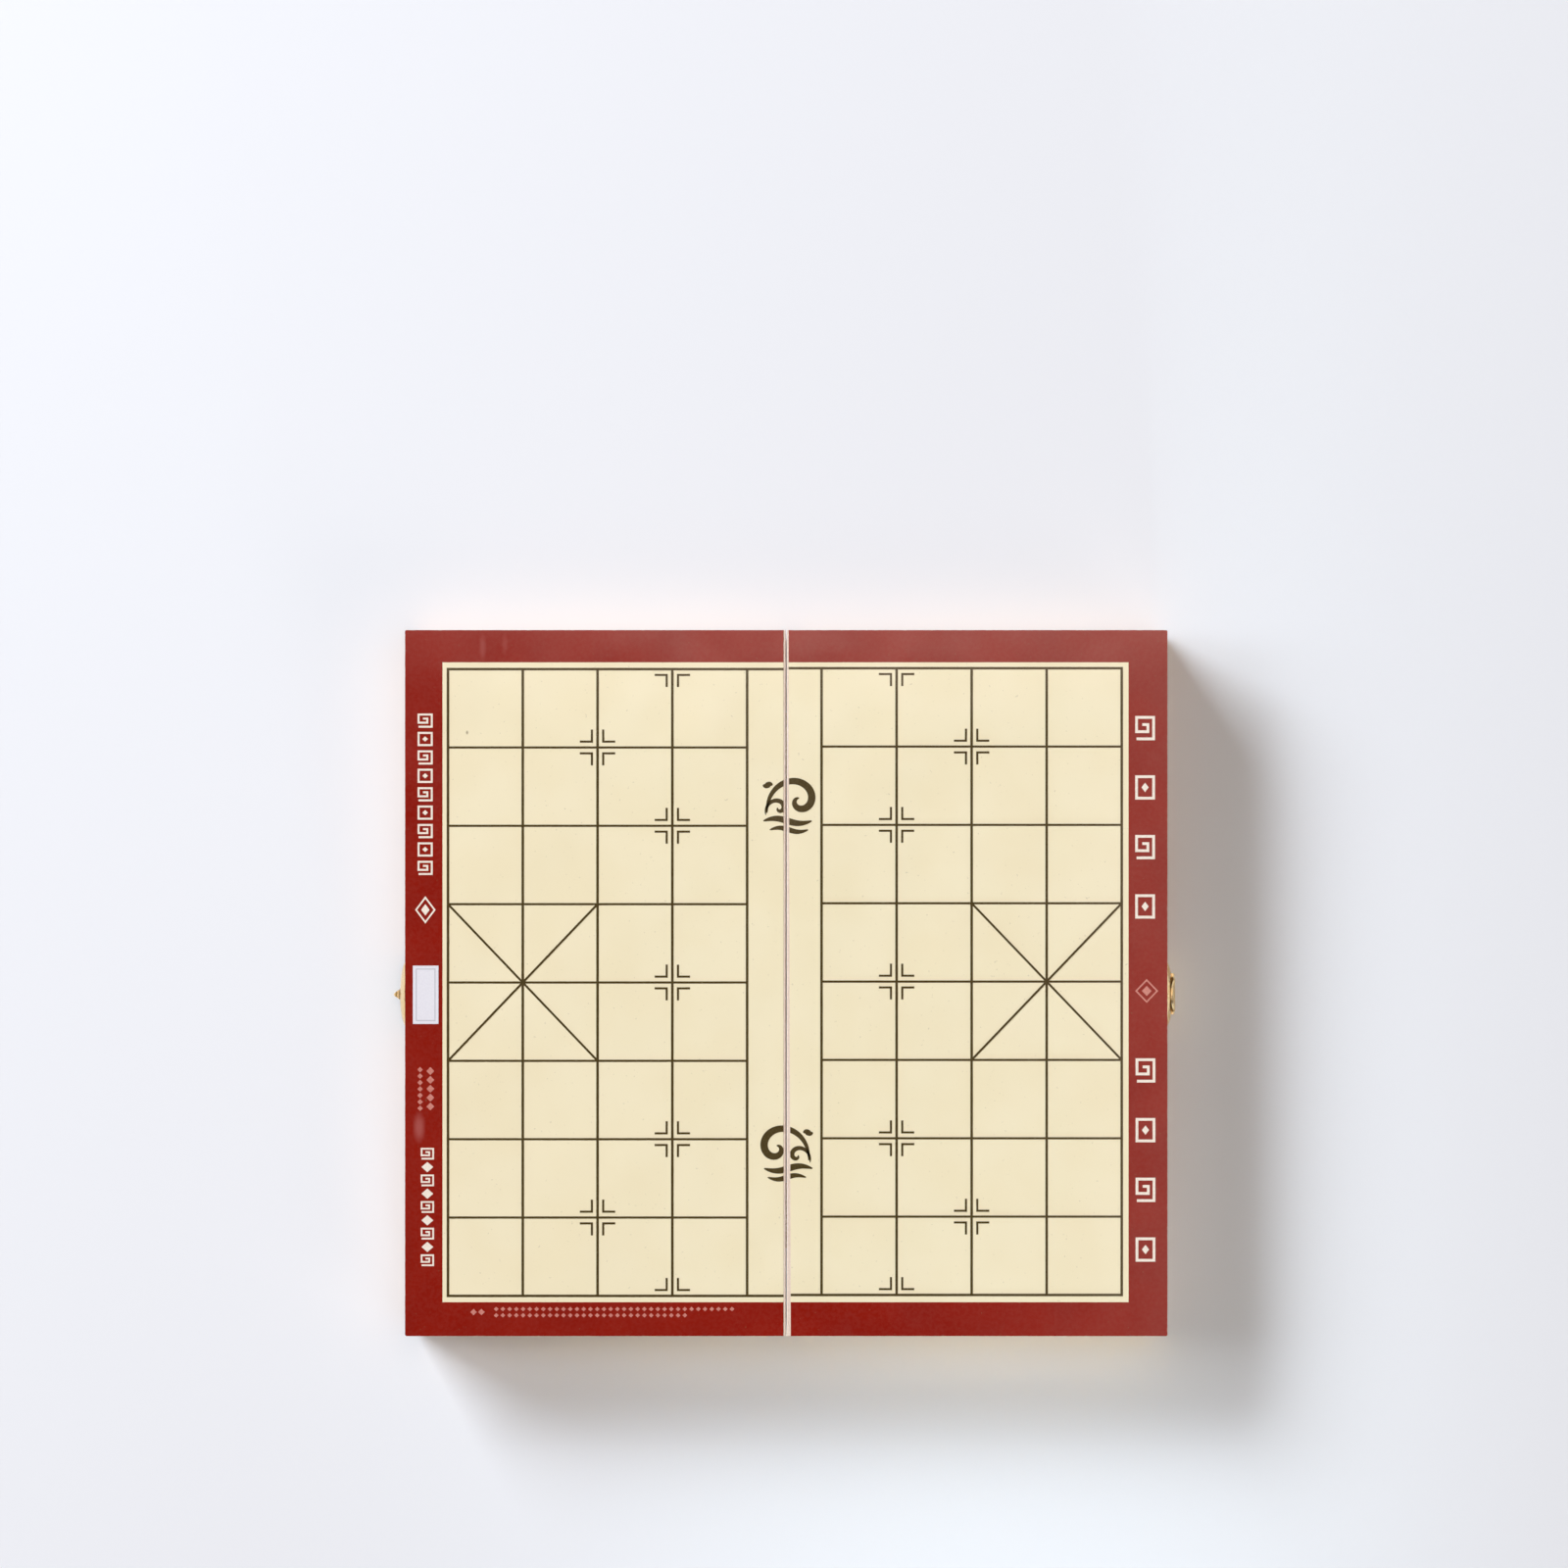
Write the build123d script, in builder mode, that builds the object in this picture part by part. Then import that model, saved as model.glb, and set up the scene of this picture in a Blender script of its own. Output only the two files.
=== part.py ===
from build123d import *
from math import atan2, degrees
import os

# Folding xiangqi board box, unfolded flat with its printed faces up.
# X runs across the seam, Y along it, Z up; the lowest point of the hinge barrels is z = 0.
# The left tray (-X) carries the catch plate, the right tray (+X) carries the clasp flap.

os.makedirs("parts", exist_ok=True)

HALVES = {"left": -1, "right": 1}
ENDS = {"near": -1, "far": 1}

# ---- Trays, millimetres ----
half_width = 188.75
board_depth = 350.0
panel_thickness = 3.0
wall_height = 22.0
wall_thickness = 7.0
panel_overhang = 0.4
corner_radius = 0.8
seam_gap = 0.5
rim_gap = 0.3
finger_count = 5
edge_break = 0.2
rim_break = 0.6

# ---- Printed sheets, trimmed flush with the panels' outer edges ----
print_thickness = 0.1
# Where the trimmed edge of each sheet runs along the seam, measured from the seam's centre line.
print_trim = {
    "left": {"near": 1.35, "far": 1.35},
    "right": {"near": 2.25, "far": 1.15},
}

# ---- Butt hinges ----
hinge_inset = 57.0
hinge_length = 32.0
leaf_thickness = 0.6
leaf_height = 11.0
leaf_corner = 1.5
barrel_radius = 1.25
pin_radius = 0.6
pin_clearance = 0.04
pin_head_radius = 1.0
pin_head_height = 0.4
pin_head_bevel = 0.2
knuckle_count = 5
knuckle_gap = 0.15
barrel_clearance = 0.2
screw_spacing = 20.0
screw_inset = 4.0
screw_head_radius = 1.6
screw_radius = 0.8
screw_length = 5.4
screw_slot = 0.4
slot_run_out = 0.2
pilot_clearance = 0.02

# ---- Clasp: two half-round domed plates, a flap and a hook ----
clasp_y = -6.6
stamping_thickness = 0.8
flange_radius = 20.0
dome_radius = 17.5
crown_radius = 7.0
crown_rise = 4.4
plate_setback = 0.4
knuckle_radius = 1.2
clasp_pin_radius = 0.5
clasp_pin_head = 0.3
knuckle_setback = 0.1
clasp_knuckle_span = 20.0
flap_knuckle_length = 9.6
flap_clearance = 0.25
flap_width = 17.6
flap_shoulder = 2.0
flap_straight = 8.0
flap_length = 15.0
lip_start = 11.5
lip_angle = 25.0
lip_bend_radius = 2.0
window_height = 7.5
window_width = 7.4
window_length = 4.4
window_corner = 0.8
hook_width = 6.4
hook_tip_width = 0.9
hook_reach = 3.4
hook_root = 1.8
hook_lift = 1.3
hook_tip_thickness = 0.8
hook_tip_bevel = 0.2
nail_angles = (14.0, 90.0, 166.0)
nail_radius = 0.6
nail_head_radius = 1.1
nail_head_height = 0.7
nail_doming = 0.85
nail_length = 4.8

# ---- Heights and faces that the sizes above settle ----
fold_axis_z = barrel_radius
rim_z = fold_axis_z + rim_gap / 2
panel_z = rim_z + wall_height
print_z = panel_z + panel_thickness
panel_in = seam_gap / 2
panel_out = panel_in + half_width
wall_in = panel_in + leaf_thickness
wall_out = panel_out - panel_overhang
frame_depth = board_depth - 2 * panel_overhang
hinge_spacing = board_depth - 2 * hinge_inset
finger_height = wall_height / finger_count
plate_z = rim_z + plate_setback
clasp_axis_z = rim_z + knuckle_radius + knuckle_setback
clasp_axis_out = wall_out + crown_rise + flap_clearance + stamping_thickness / 2
hook_z = 2 * fold_axis_z - clasp_axis_z + window_height
nail_circle = (flange_radius + dome_radius) / 2
knuckle_length = (hinge_length - (knuckle_count - 1) * knuckle_gap) / knuckle_count
knuckle_pitch = knuckle_length + knuckle_gap
sink_angle = 2 * degrees(atan2(screw_head_radius - screw_radius, leaf_thickness))
along_y = (90, 0, 0)


def outline(side, inner, outer, depth):
    """Sketch a half's plan between two distances from the seam, rounded at its two outer corners."""
    with Locations((side * (inner + outer) / 2, 0)):
        Rectangle(outer - inner, depth)
    corners = vertices().sort_by(Axis.X)
    fillet(corners[-2:] if side > 0 else corners[:2], corner_radius)


def seam_face(side, y, z):
    """Plane on a leaf's open face, looking out across the seam."""
    return Plane(origin=(side * panel_in, y, z), x_dir=(0, 1, 0), z_dir=(-side, 0, 0))


def front_face(side, angle):
    """Plane on a front wall at one nail of a clasp plate, looking outwards."""
    spot = Vector(0, nail_circle, 0).rotate(Axis.X, angle)
    origin = Vector(side * wall_out, clasp_y, plate_z) + spot
    return Plane(origin=origin, x_dir=(0, 1, 0), z_dir=(side, 0, 0))


def hinge_screw_faces(side):
    """Planes of all the screws in one half's two leaves."""
    height = fold_axis_z + leaf_height - screw_inset
    return [
        seam_face(side, end * hinge_spacing / 2 + half * screw_spacing / 2, height)
        for end in ENDS.values()
        for half in ENDS.values()
    ]


def make_panel(half, side):
    """Flat fibreboard panel that closes a tray and carries the printed sheet, eased along the seam."""
    with BuildPart() as panel:
        with BuildSketch(Plane.XY.offset(panel_z)):
            outline(side, panel_in, panel_out, board_depth)
        extrude(amount=panel_thickness)
        seam_side = panel.faces().sort_by(Axis.X)[0 if side > 0 else -1]
        chamfer(seam_side.edges().sort_by(Axis.Z)[-1], edge_break)
    panel.part.label = f"{half}_panel"
    export_step(panel.part, f"parts/{panel.part.label}.step")


def make_print(half, side):
    """Laminated sheet on the panel; its seam edge is trimmed slightly out of true."""
    outer = side * panel_out
    end = board_depth / 2
    trim = print_trim[half]
    with BuildPart() as sheet:
        with BuildSketch(Plane.XY.offset(print_z)):
            with BuildLine():
                Polyline(
                    (side * trim["near"], -end),
                    (outer, -end),
                    (outer, end),
                    (side * trim["far"], end),
                    close=True,
                )
            make_face()
            corners = vertices().sort_by(Axis.X)
            fillet(corners[-2:] if side > 0 else corners[:2], corner_radius)
        extrude(amount=print_thickness)
    sheet.part.label = f"{half}_print"
    export_step(sheet.part, f"parts/{sheet.part.label}.step")


def tray_frame(side):
    """The four walls of a tray in one ring, its rim edges broken, before it is cut into walls."""
    with BuildPart() as frame:
        with BuildSketch(Plane.XY.offset(rim_z)):
            outline(side, wall_in, wall_out, frame_depth)
            with Locations((side * (wall_in + wall_out) / 2, 0)):
                Rectangle(
                    wall_out - wall_in - 2 * wall_thickness,
                    frame_depth - 2 * wall_thickness,
                    mode=Mode.SUBTRACT,
                )
        extrude(amount=wall_height)
        chamfer(frame.faces().sort_by(Axis.Z)[0].edges(), rim_break)
    return frame.part


def cut_fingers(side, first):
    """Cut every second layer out of the four corner blocks, counting from the rim."""
    across = [wall_in + wall_thickness / 2, wall_out - wall_thickness / 2]
    along = frame_depth / 2 - wall_thickness / 2
    spots = [
        (side * x, end * along, rim_z + layer * finger_height)
        for x in across
        for end in ENDS.values()
        for layer in range(first, finger_count, 2)
    ]
    with Locations(*spots):
        Box(
            wall_thickness,
            wall_thickness,
            finger_height,
            align=(Align.CENTER, Align.CENTER, Align.MIN),
            mode=Mode.SUBTRACT,
        )


def make_long_wall(frame, half, side, name, inner, holes):
    """Long wall of a tray: the seam wall or the front wall, with the holes of its hardware."""
    with BuildPart() as wall:
        add(frame)
        with Locations((side * (inner + wall_thickness / 2), 0, rim_z + wall_height / 2)):
            Box(wall_thickness, frame_depth, wall_height, mode=Mode.INTERSECT)
        cut_fingers(side, first=1)
        holes(side)
    wall.part.label = f"{half}_{name}"
    export_step(wall.part, f"parts/{wall.part.label}.step")


def make_end_wall(frame, half, side, name, end):
    """Short wall of a tray, its fingers filling what the long walls leave."""
    with BuildPart() as wall:
        add(frame)
        middle = end * (frame_depth - wall_thickness) / 2
        with Locations((side * (wall_in + wall_out) / 2, middle, rim_z + wall_height / 2)):
            Box(wall_out - wall_in, wall_thickness, wall_height, mode=Mode.INTERSECT)
        cut_fingers(side, first=0)
    wall.part.label = f"{half}_{name}"
    export_step(wall.part, f"parts/{wall.part.label}.step")


def hinge_holes(side):
    """Groove for each hinge barrel and a pilot hole for each screw."""
    groove = hinge_length + 2 * (pin_head_height + barrel_clearance)
    with Locations(*[(0, end * hinge_spacing / 2, fold_axis_z) for end in ENDS.values()]):
        Cylinder(
            barrel_radius + barrel_clearance, groove, rotation=along_y, mode=Mode.SUBTRACT
        )
    with Locations(*hinge_screw_faces(side)):
        Cylinder(
            screw_radius + pilot_clearance,
            screw_length + pilot_clearance,
            align=(Align.CENTER, Align.CENTER, Align.MAX),
            mode=Mode.SUBTRACT,
        )


def nail_holes(side):
    """A pilot hole for each nail of a clasp plate."""
    with Locations(*[front_face(side, angle) for angle in nail_angles]):
        Cylinder(
            nail_radius + pilot_clearance,
            nail_length + pilot_clearance,
            align=(Align.CENTER, Align.CENTER, Align.MAX),
            mode=Mode.SUBTRACT,
        )


def make_walls(half, side):
    """Four walls of one tray, finger-jointed at the corners."""
    frame = tray_frame(side)
    make_long_wall(frame, half, side, "hinge_wall", wall_in, hinge_holes)
    make_long_wall(frame, half, side, "front_wall", wall_out - wall_thickness, nail_holes)
    for name, end in ENDS.items():
        make_end_wall(frame, half, side, f"{name}_wall", end)


def make_leaf(half, side, place, end):
    """Hinge leaf: the left one has the odd knuckles, the right one the even knuckles."""
    middle = end * hinge_spacing / 2
    first = -(knuckle_count - 1) / 2
    knuckles = [
        (0, middle + (first + index) * knuckle_pitch, fold_axis_z) for index in range(knuckle_count)
    ]
    own = knuckles[0::2] if side < 0 else knuckles[1::2]
    other = knuckles[1::2] if side < 0 else knuckles[0::2]
    with BuildPart() as leaf:
        with BuildSketch(seam_face(side, middle, fold_axis_z + leaf_height / 2)):
            Rectangle(hinge_length, leaf_height)
            fillet(vertices().group_by(Axis.Z)[-1], leaf_corner)
        extrude(amount=-leaf_thickness)
        with Locations(*other):
            Cylinder(
                barrel_radius + barrel_clearance,
                knuckle_length + 2 * knuckle_gap,
                rotation=along_y,
                mode=Mode.SUBTRACT,
            )
        with Locations(*own):
            Cylinder(barrel_radius, knuckle_length, rotation=along_y)
        with Locations((0, middle, fold_axis_z)):
            Cylinder(
                pin_radius + pin_clearance, hinge_length, rotation=along_y, mode=Mode.SUBTRACT
            )
        with Locations(*[face for face in hinge_screw_faces(side) if face.origin.Y * end > 0]):
            CounterSinkHole(screw_radius, screw_head_radius, counter_sink_angle=sink_angle)
    leaf.part.label = f"{place}_hinge_{half}_leaf"
    export_step(leaf.part, f"parts/{leaf.part.label}.step")


def make_hinge_pin(place, end):
    """Hinge pin with a bevelled head peened over each end of the barrel."""
    with BuildPart() as pin:
        with Locations((0, end * hinge_spacing / 2, fold_axis_z)):
            Cylinder(pin_radius, hinge_length, rotation=along_y)
        for tip in ENDS.values():
            middle = end * hinge_spacing / 2 + tip * (hinge_length + pin_head_height) / 2
            with Locations((0, middle, fold_axis_z)):
                Cylinder(pin_head_radius, pin_head_height, rotation=along_y)
        ends = pin.faces().sort_by(Axis.Y)
        chamfer([ends[0].edges()[0], ends[-1].edges()[0]], pin_head_bevel)
    pin.part.label = f"{place}_hinge_pin"
    export_step(pin.part, f"parts/{pin.part.label}.step")


def make_hinge_screws(half, side):
    """Countersunk slotted wood screws of both leaves on one half."""
    point_height = screw_radius
    with BuildPart() as screws:
        with Locations(*hinge_screw_faces(side)):
            top = (Align.CENTER, Align.CENTER, Align.MAX)
            Cylinder(screw_radius, screw_length - point_height, align=top)
            Cone(screw_radius, screw_head_radius, leaf_thickness, align=top)
            Box(
                2 * (screw_head_radius + slot_run_out),
                screw_slot,
                screw_slot,
                align=top,
                mode=Mode.SUBTRACT,
            )
        with Locations(*[face.offset(point_height - screw_length) for face in hinge_screw_faces(side)]):
            Cone(0, screw_radius, point_height, align=(Align.CENTER, Align.CENTER, Align.MAX))
    screws.part.label = f"{half}_hinge_screws"
    export_step(screws.part, f"parts/{screws.part.label}.step")


def half_dome(side):
    """Half-round stamping: a flat flange round a hollow dome with a level crown."""
    thick = stamping_thickness
    shoulder = dome_radius - crown_radius
    radial = Plane(
        origin=(side * wall_out, clasp_y, plate_z), x_dir=(0, 1, 0), z_dir=(0, 0, -side)
    )
    with BuildPart() as dome:
        with BuildSketch(radial):
            with BuildLine():
                Polyline(
                    (dome_radius - thick, 0),
                    (flange_radius, 0),
                    (flange_radius, thick),
                    (dome_radius, thick),
                )
                EllipticalCenterArc(
                    (crown_radius, thick), shoulder, crown_rise - thick, 0, arc_size=90
                )
                Polyline(
                    (crown_radius, crown_rise),
                    (0, crown_rise),
                    (0, crown_rise - thick),
                    (crown_radius, crown_rise - thick),
                )
                EllipticalCenterArc(
                    (crown_radius, 0), shoulder - thick, crown_rise - thick, 0, arc_size=90
                )
            make_face()
        revolve(axis=Axis((0, clasp_y, plate_z), (1, 0, 0)), revolution_arc=180)
        with Locations(*[front_face(side, angle) for angle in nail_angles]):
            Hole(nail_radius + pilot_clearance)
    return dome.part


def make_catch_plate():
    """Catch: the half dome of the left tray with a hook rising from its crown."""
    side = HALVES["left"]
    root = wall_out + crown_rise - stamping_thickness / 2
    tip = wall_out + crown_rise + hook_reach
    with BuildPart() as hook:
        with BuildSketch(Plane.XZ.offset(-clasp_y)):
            with BuildLine():
                Spline(
                    (side * root, hook_z - hook_root / 2),
                    (side * tip, hook_z + hook_lift - hook_tip_thickness / 2),
                    tangents=[(side, 0), (side, 1)],
                )
                Line(
                    (side * tip, hook_z + hook_lift - hook_tip_thickness / 2),
                    (side * (tip - hook_tip_thickness), hook_z + hook_lift + hook_tip_bevel),
                )
                Spline(
                    (side * (tip - hook_tip_thickness), hook_z + hook_lift + hook_tip_bevel),
                    (side * root, hook_z + hook_root / 2),
                    tangents=[(-side, -1), (-side, 0)],
                )
                Line((side * root, hook_z + hook_root / 2), (side * root, hook_z - hook_root / 2))
            make_face()
        extrude(amount=hook_width / 2, both=True)
        with BuildSketch(Plane.XY.offset(hook_z)):
            with BuildLine():
                Polyline(
                    (side * root, clasp_y - hook_width / 2),
                    (side * tip, clasp_y - hook_tip_width / 2),
                    (side * tip, clasp_y + hook_tip_width / 2),
                    (side * root, clasp_y + hook_width / 2),
                    close=True,
                )
            make_face()
        extrude(amount=wall_height, both=True, mode=Mode.INTERSECT)
    with BuildPart() as catch:
        add(half_dome(side))
        add(hook.part)
    catch.part.label = "catch_plate"
    export_step(catch.part, "parts/catch_plate.step")


def make_clasp_plate():
    """Hinge plate of the clasp: the half dome of the right tray with two rolled knuckles."""
    side = HALVES["right"]
    length = (clasp_knuckle_span - flap_knuckle_length) / 2 - knuckle_gap
    offset = (clasp_knuckle_span - length) / 2
    with BuildPart() as plate:
        add(half_dome(side))
        with Locations((clasp_axis_out, clasp_y, clasp_axis_z)):
            Cylinder(
                knuckle_radius + barrel_clearance,
                flap_knuckle_length + 2 * knuckle_gap,
                rotation=along_y,
                mode=Mode.SUBTRACT,
            )
        for end in ENDS.values():
            with Locations((clasp_axis_out, clasp_y + end * offset, clasp_axis_z)):
                Cylinder(knuckle_radius, length, rotation=along_y)
        with Locations((clasp_axis_out, clasp_y, clasp_axis_z)):
            Cylinder(
                clasp_pin_radius + pin_clearance,
                clasp_knuckle_span,
                rotation=along_y,
                mode=Mode.SUBTRACT,
            )
    plate.part.label = "clasp_plate"
    export_step(plate.part, "parts/clasp_plate.step")


def make_clasp_pin():
    """Pin of the clasp flap, headed at both ends."""
    with BuildPart() as pin:
        with Locations((clasp_axis_out, clasp_y, clasp_axis_z)):
            Cylinder(clasp_pin_radius, clasp_knuckle_span, rotation=along_y)
        for tip in ENDS.values():
            middle = clasp_y + tip * (clasp_knuckle_span + clasp_pin_head) / 2
            with Locations((clasp_axis_out, middle, clasp_axis_z)):
                Cylinder(clasp_pin_radius + clasp_pin_head, clasp_pin_head, rotation=along_y)
    pin.part.label = "clasp_pin"
    export_step(pin.part, "parts/clasp_pin.step")


def make_clasp_flap():
    """Clasp flap, laid back over its own plate: rolled knuckle, window for the hook and a bent lip."""
    with BuildPart() as flap:
        with BuildSketch(Plane.XZ.offset(-clasp_y)):
            with BuildLine():
                bend = Vector(clasp_axis_out, clasp_axis_z + lip_start)
                lip = Vector(0, flap_length).rotate(Axis.Z, lip_angle)
                FilletPolyline(
                    (clasp_axis_out, clasp_axis_z), bend, bend + lip, radius=lip_bend_radius
                )
            trace(line_width=stamping_thickness)
        extrude(amount=flap_width / 2, both=True)
        with BuildSketch(Plane.YZ.offset(clasp_axis_out)):
            with BuildLine():
                base, top = clasp_axis_z, clasp_axis_z + flap_straight
                neck = flap_knuckle_length / 2
                Polyline(
                    (clasp_y + flap_width / 2, top),
                    (clasp_y + flap_width / 2, base + flap_shoulder),
                    (clasp_y + neck, base + flap_shoulder),
                    (clasp_y + neck, base),
                    (clasp_y - neck, base),
                    (clasp_y - neck, base + flap_shoulder),
                    (clasp_y - flap_width / 2, base + flap_shoulder),
                    (clasp_y - flap_width / 2, top),
                )
                EllipticalCenterArc(
                    (clasp_y, top), flap_width / 2, flap_length - flap_straight, 0, arc_size=180
                )
            make_face()
        extrude(amount=flap_length, both=True, mode=Mode.INTERSECT)
        with BuildSketch(Plane.YZ.offset(clasp_axis_out)):
            with Locations((clasp_y, clasp_axis_z + window_height)):
                RectangleRounded(window_width, window_length, window_corner)
        extrude(amount=flap_length, both=True, mode=Mode.SUBTRACT)
        with Locations((clasp_axis_out, clasp_y, clasp_axis_z)):
            Cylinder(knuckle_radius, flap_knuckle_length, rotation=along_y)
            Cylinder(
                clasp_pin_radius + pin_clearance,
                clasp_knuckle_span,
                rotation=along_y,
                mode=Mode.SUBTRACT,
            )
    flap.part.label = "clasp_flap"
    export_step(flap.part, "parts/clasp_flap.step")


def make_nails(name, side):
    """Three dome-headed nails that hold a clasp plate to its wall."""
    heads = [front_face(side, angle).offset(stamping_thickness) for angle in nail_angles]
    with BuildPart() as nails:
        with Locations(*heads):
            Cylinder(
                nail_radius,
                nail_length + stamping_thickness,
                align=(Align.CENTER, Align.CENTER, Align.MAX),
            )
            Cylinder(
                nail_head_radius,
                nail_head_height,
                align=(Align.CENTER, Align.CENTER, Align.MIN),
            )
        crowns = nails.edges().filter_by(GeomType.CIRCLE).sort_by(Axis.X)
        fillet(crowns[-3:] if side > 0 else crowns[:3], nail_head_height * nail_doming)
    nails.part.label = name
    export_step(nails.part, f"parts/{name}.step")


for half, side in HALVES.items():
    make_panel(half, side)
    make_print(half, side)
    make_walls(half, side)
    make_hinge_screws(half, side)
    for place, end in ENDS.items():
        make_leaf(half, side, place, end)
for place, end in ENDS.items():
    make_hinge_pin(place, end)
make_catch_plate()
make_nails("catch_nails", HALVES["left"])
make_clasp_plate()
make_clasp_pin()
make_clasp_flap()
make_nails("clasp_nails", HALVES["right"])
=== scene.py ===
"""Looks of a folding xiangqi board box, unfolded flat with its printed faces up.

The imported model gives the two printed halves, their finger-jointed trays, the hinges and the clasp.
This script gives each of them its finish, lays the printed lines and ornaments on the sheets, and
sets a pale studio round them. Lengths are metres in the model's frame: X across the seam, Y along
it, Z up. Values written in millimetres are multiplied by MM where they are used.
"""

import functools
import itertools
import logging
import math
from collections.abc import Iterable, Sequence
from dataclasses import dataclass, field
from enum import Enum

import bmesh
import bpy
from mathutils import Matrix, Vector

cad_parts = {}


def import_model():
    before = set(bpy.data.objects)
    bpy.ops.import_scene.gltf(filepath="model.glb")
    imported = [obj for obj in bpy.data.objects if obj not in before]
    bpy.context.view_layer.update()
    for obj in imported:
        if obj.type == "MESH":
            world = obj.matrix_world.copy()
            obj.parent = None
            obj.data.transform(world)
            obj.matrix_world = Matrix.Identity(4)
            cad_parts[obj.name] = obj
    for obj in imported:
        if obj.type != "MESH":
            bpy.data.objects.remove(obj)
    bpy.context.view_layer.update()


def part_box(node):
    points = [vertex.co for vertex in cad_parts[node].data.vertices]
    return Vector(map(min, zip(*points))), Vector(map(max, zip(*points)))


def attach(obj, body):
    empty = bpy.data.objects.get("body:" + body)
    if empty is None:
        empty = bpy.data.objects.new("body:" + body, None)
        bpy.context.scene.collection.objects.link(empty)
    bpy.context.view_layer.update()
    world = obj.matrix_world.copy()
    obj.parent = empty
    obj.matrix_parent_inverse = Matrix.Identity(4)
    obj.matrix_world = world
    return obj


LOG = logging.getLogger("board_box")

MM = 0.001

Colour = tuple[float, float, float]
Triple = tuple[float, float, float]
Point = tuple[float, float]
Span = tuple[float, float]
Box = tuple[Vector, Vector]
Socket = bpy.types.NodeSocket
Node = bpy.types.Node

ORIGIN: Triple = (0.0, 0.0, 0.0)
EVEN: Triple = (1.0, 1.0, 1.0)
SQUARE: tuple[Point, ...] = ((-1, -1), (1, -1), (1, 1), (-1, 1))
LOZENGE: tuple[Point, ...] = ((0, -1), (1, 0), (0, 1), (-1, 0))

# A Mix node has a set of sockets for each kind of value. These are the ones that mix colours.
MIX_SHARE, MIX_FIRST, MIX_SECOND, MIX_COLOUR = 0, 6, 7, 2


class Side(Enum):
    """A half of the board, with the sign of X that it lies on."""

    LEFT = -1
    RIGHT = 1

    @property
    def word(self) -> str:
        """The side's name as the nodes spell it."""
        return self.name.lower()

    @property
    def body(self) -> str:
        """The moving body that this half is."""
        return f"{self.word}_half"


class Axis(Enum):
    """The direction that a board's grain runs in."""

    X = 0
    Y = 1


def srgb(red: int, green: int, blue: int) -> Colour:
    """Turns a colour of 0 to 255 as a screen shows it into linear light.

    Args:
        red: Red as shown.
        green: Green as shown.
        blue: Blue as shown.

    Returns:
        The linear colour.
    """

    def linear(level: int) -> float:
        """One channel in linear light, by the standard curve of screens."""
        share = level / 255
        return share / 12.92 if share <= 0.04045 else ((share + 0.055) / 1.055) ** 2.4

    return (linear(red), linear(green), linear(blue))


# ---------------------------------------------------------------------------------------------
# Node trees
# ---------------------------------------------------------------------------------------------


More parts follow.
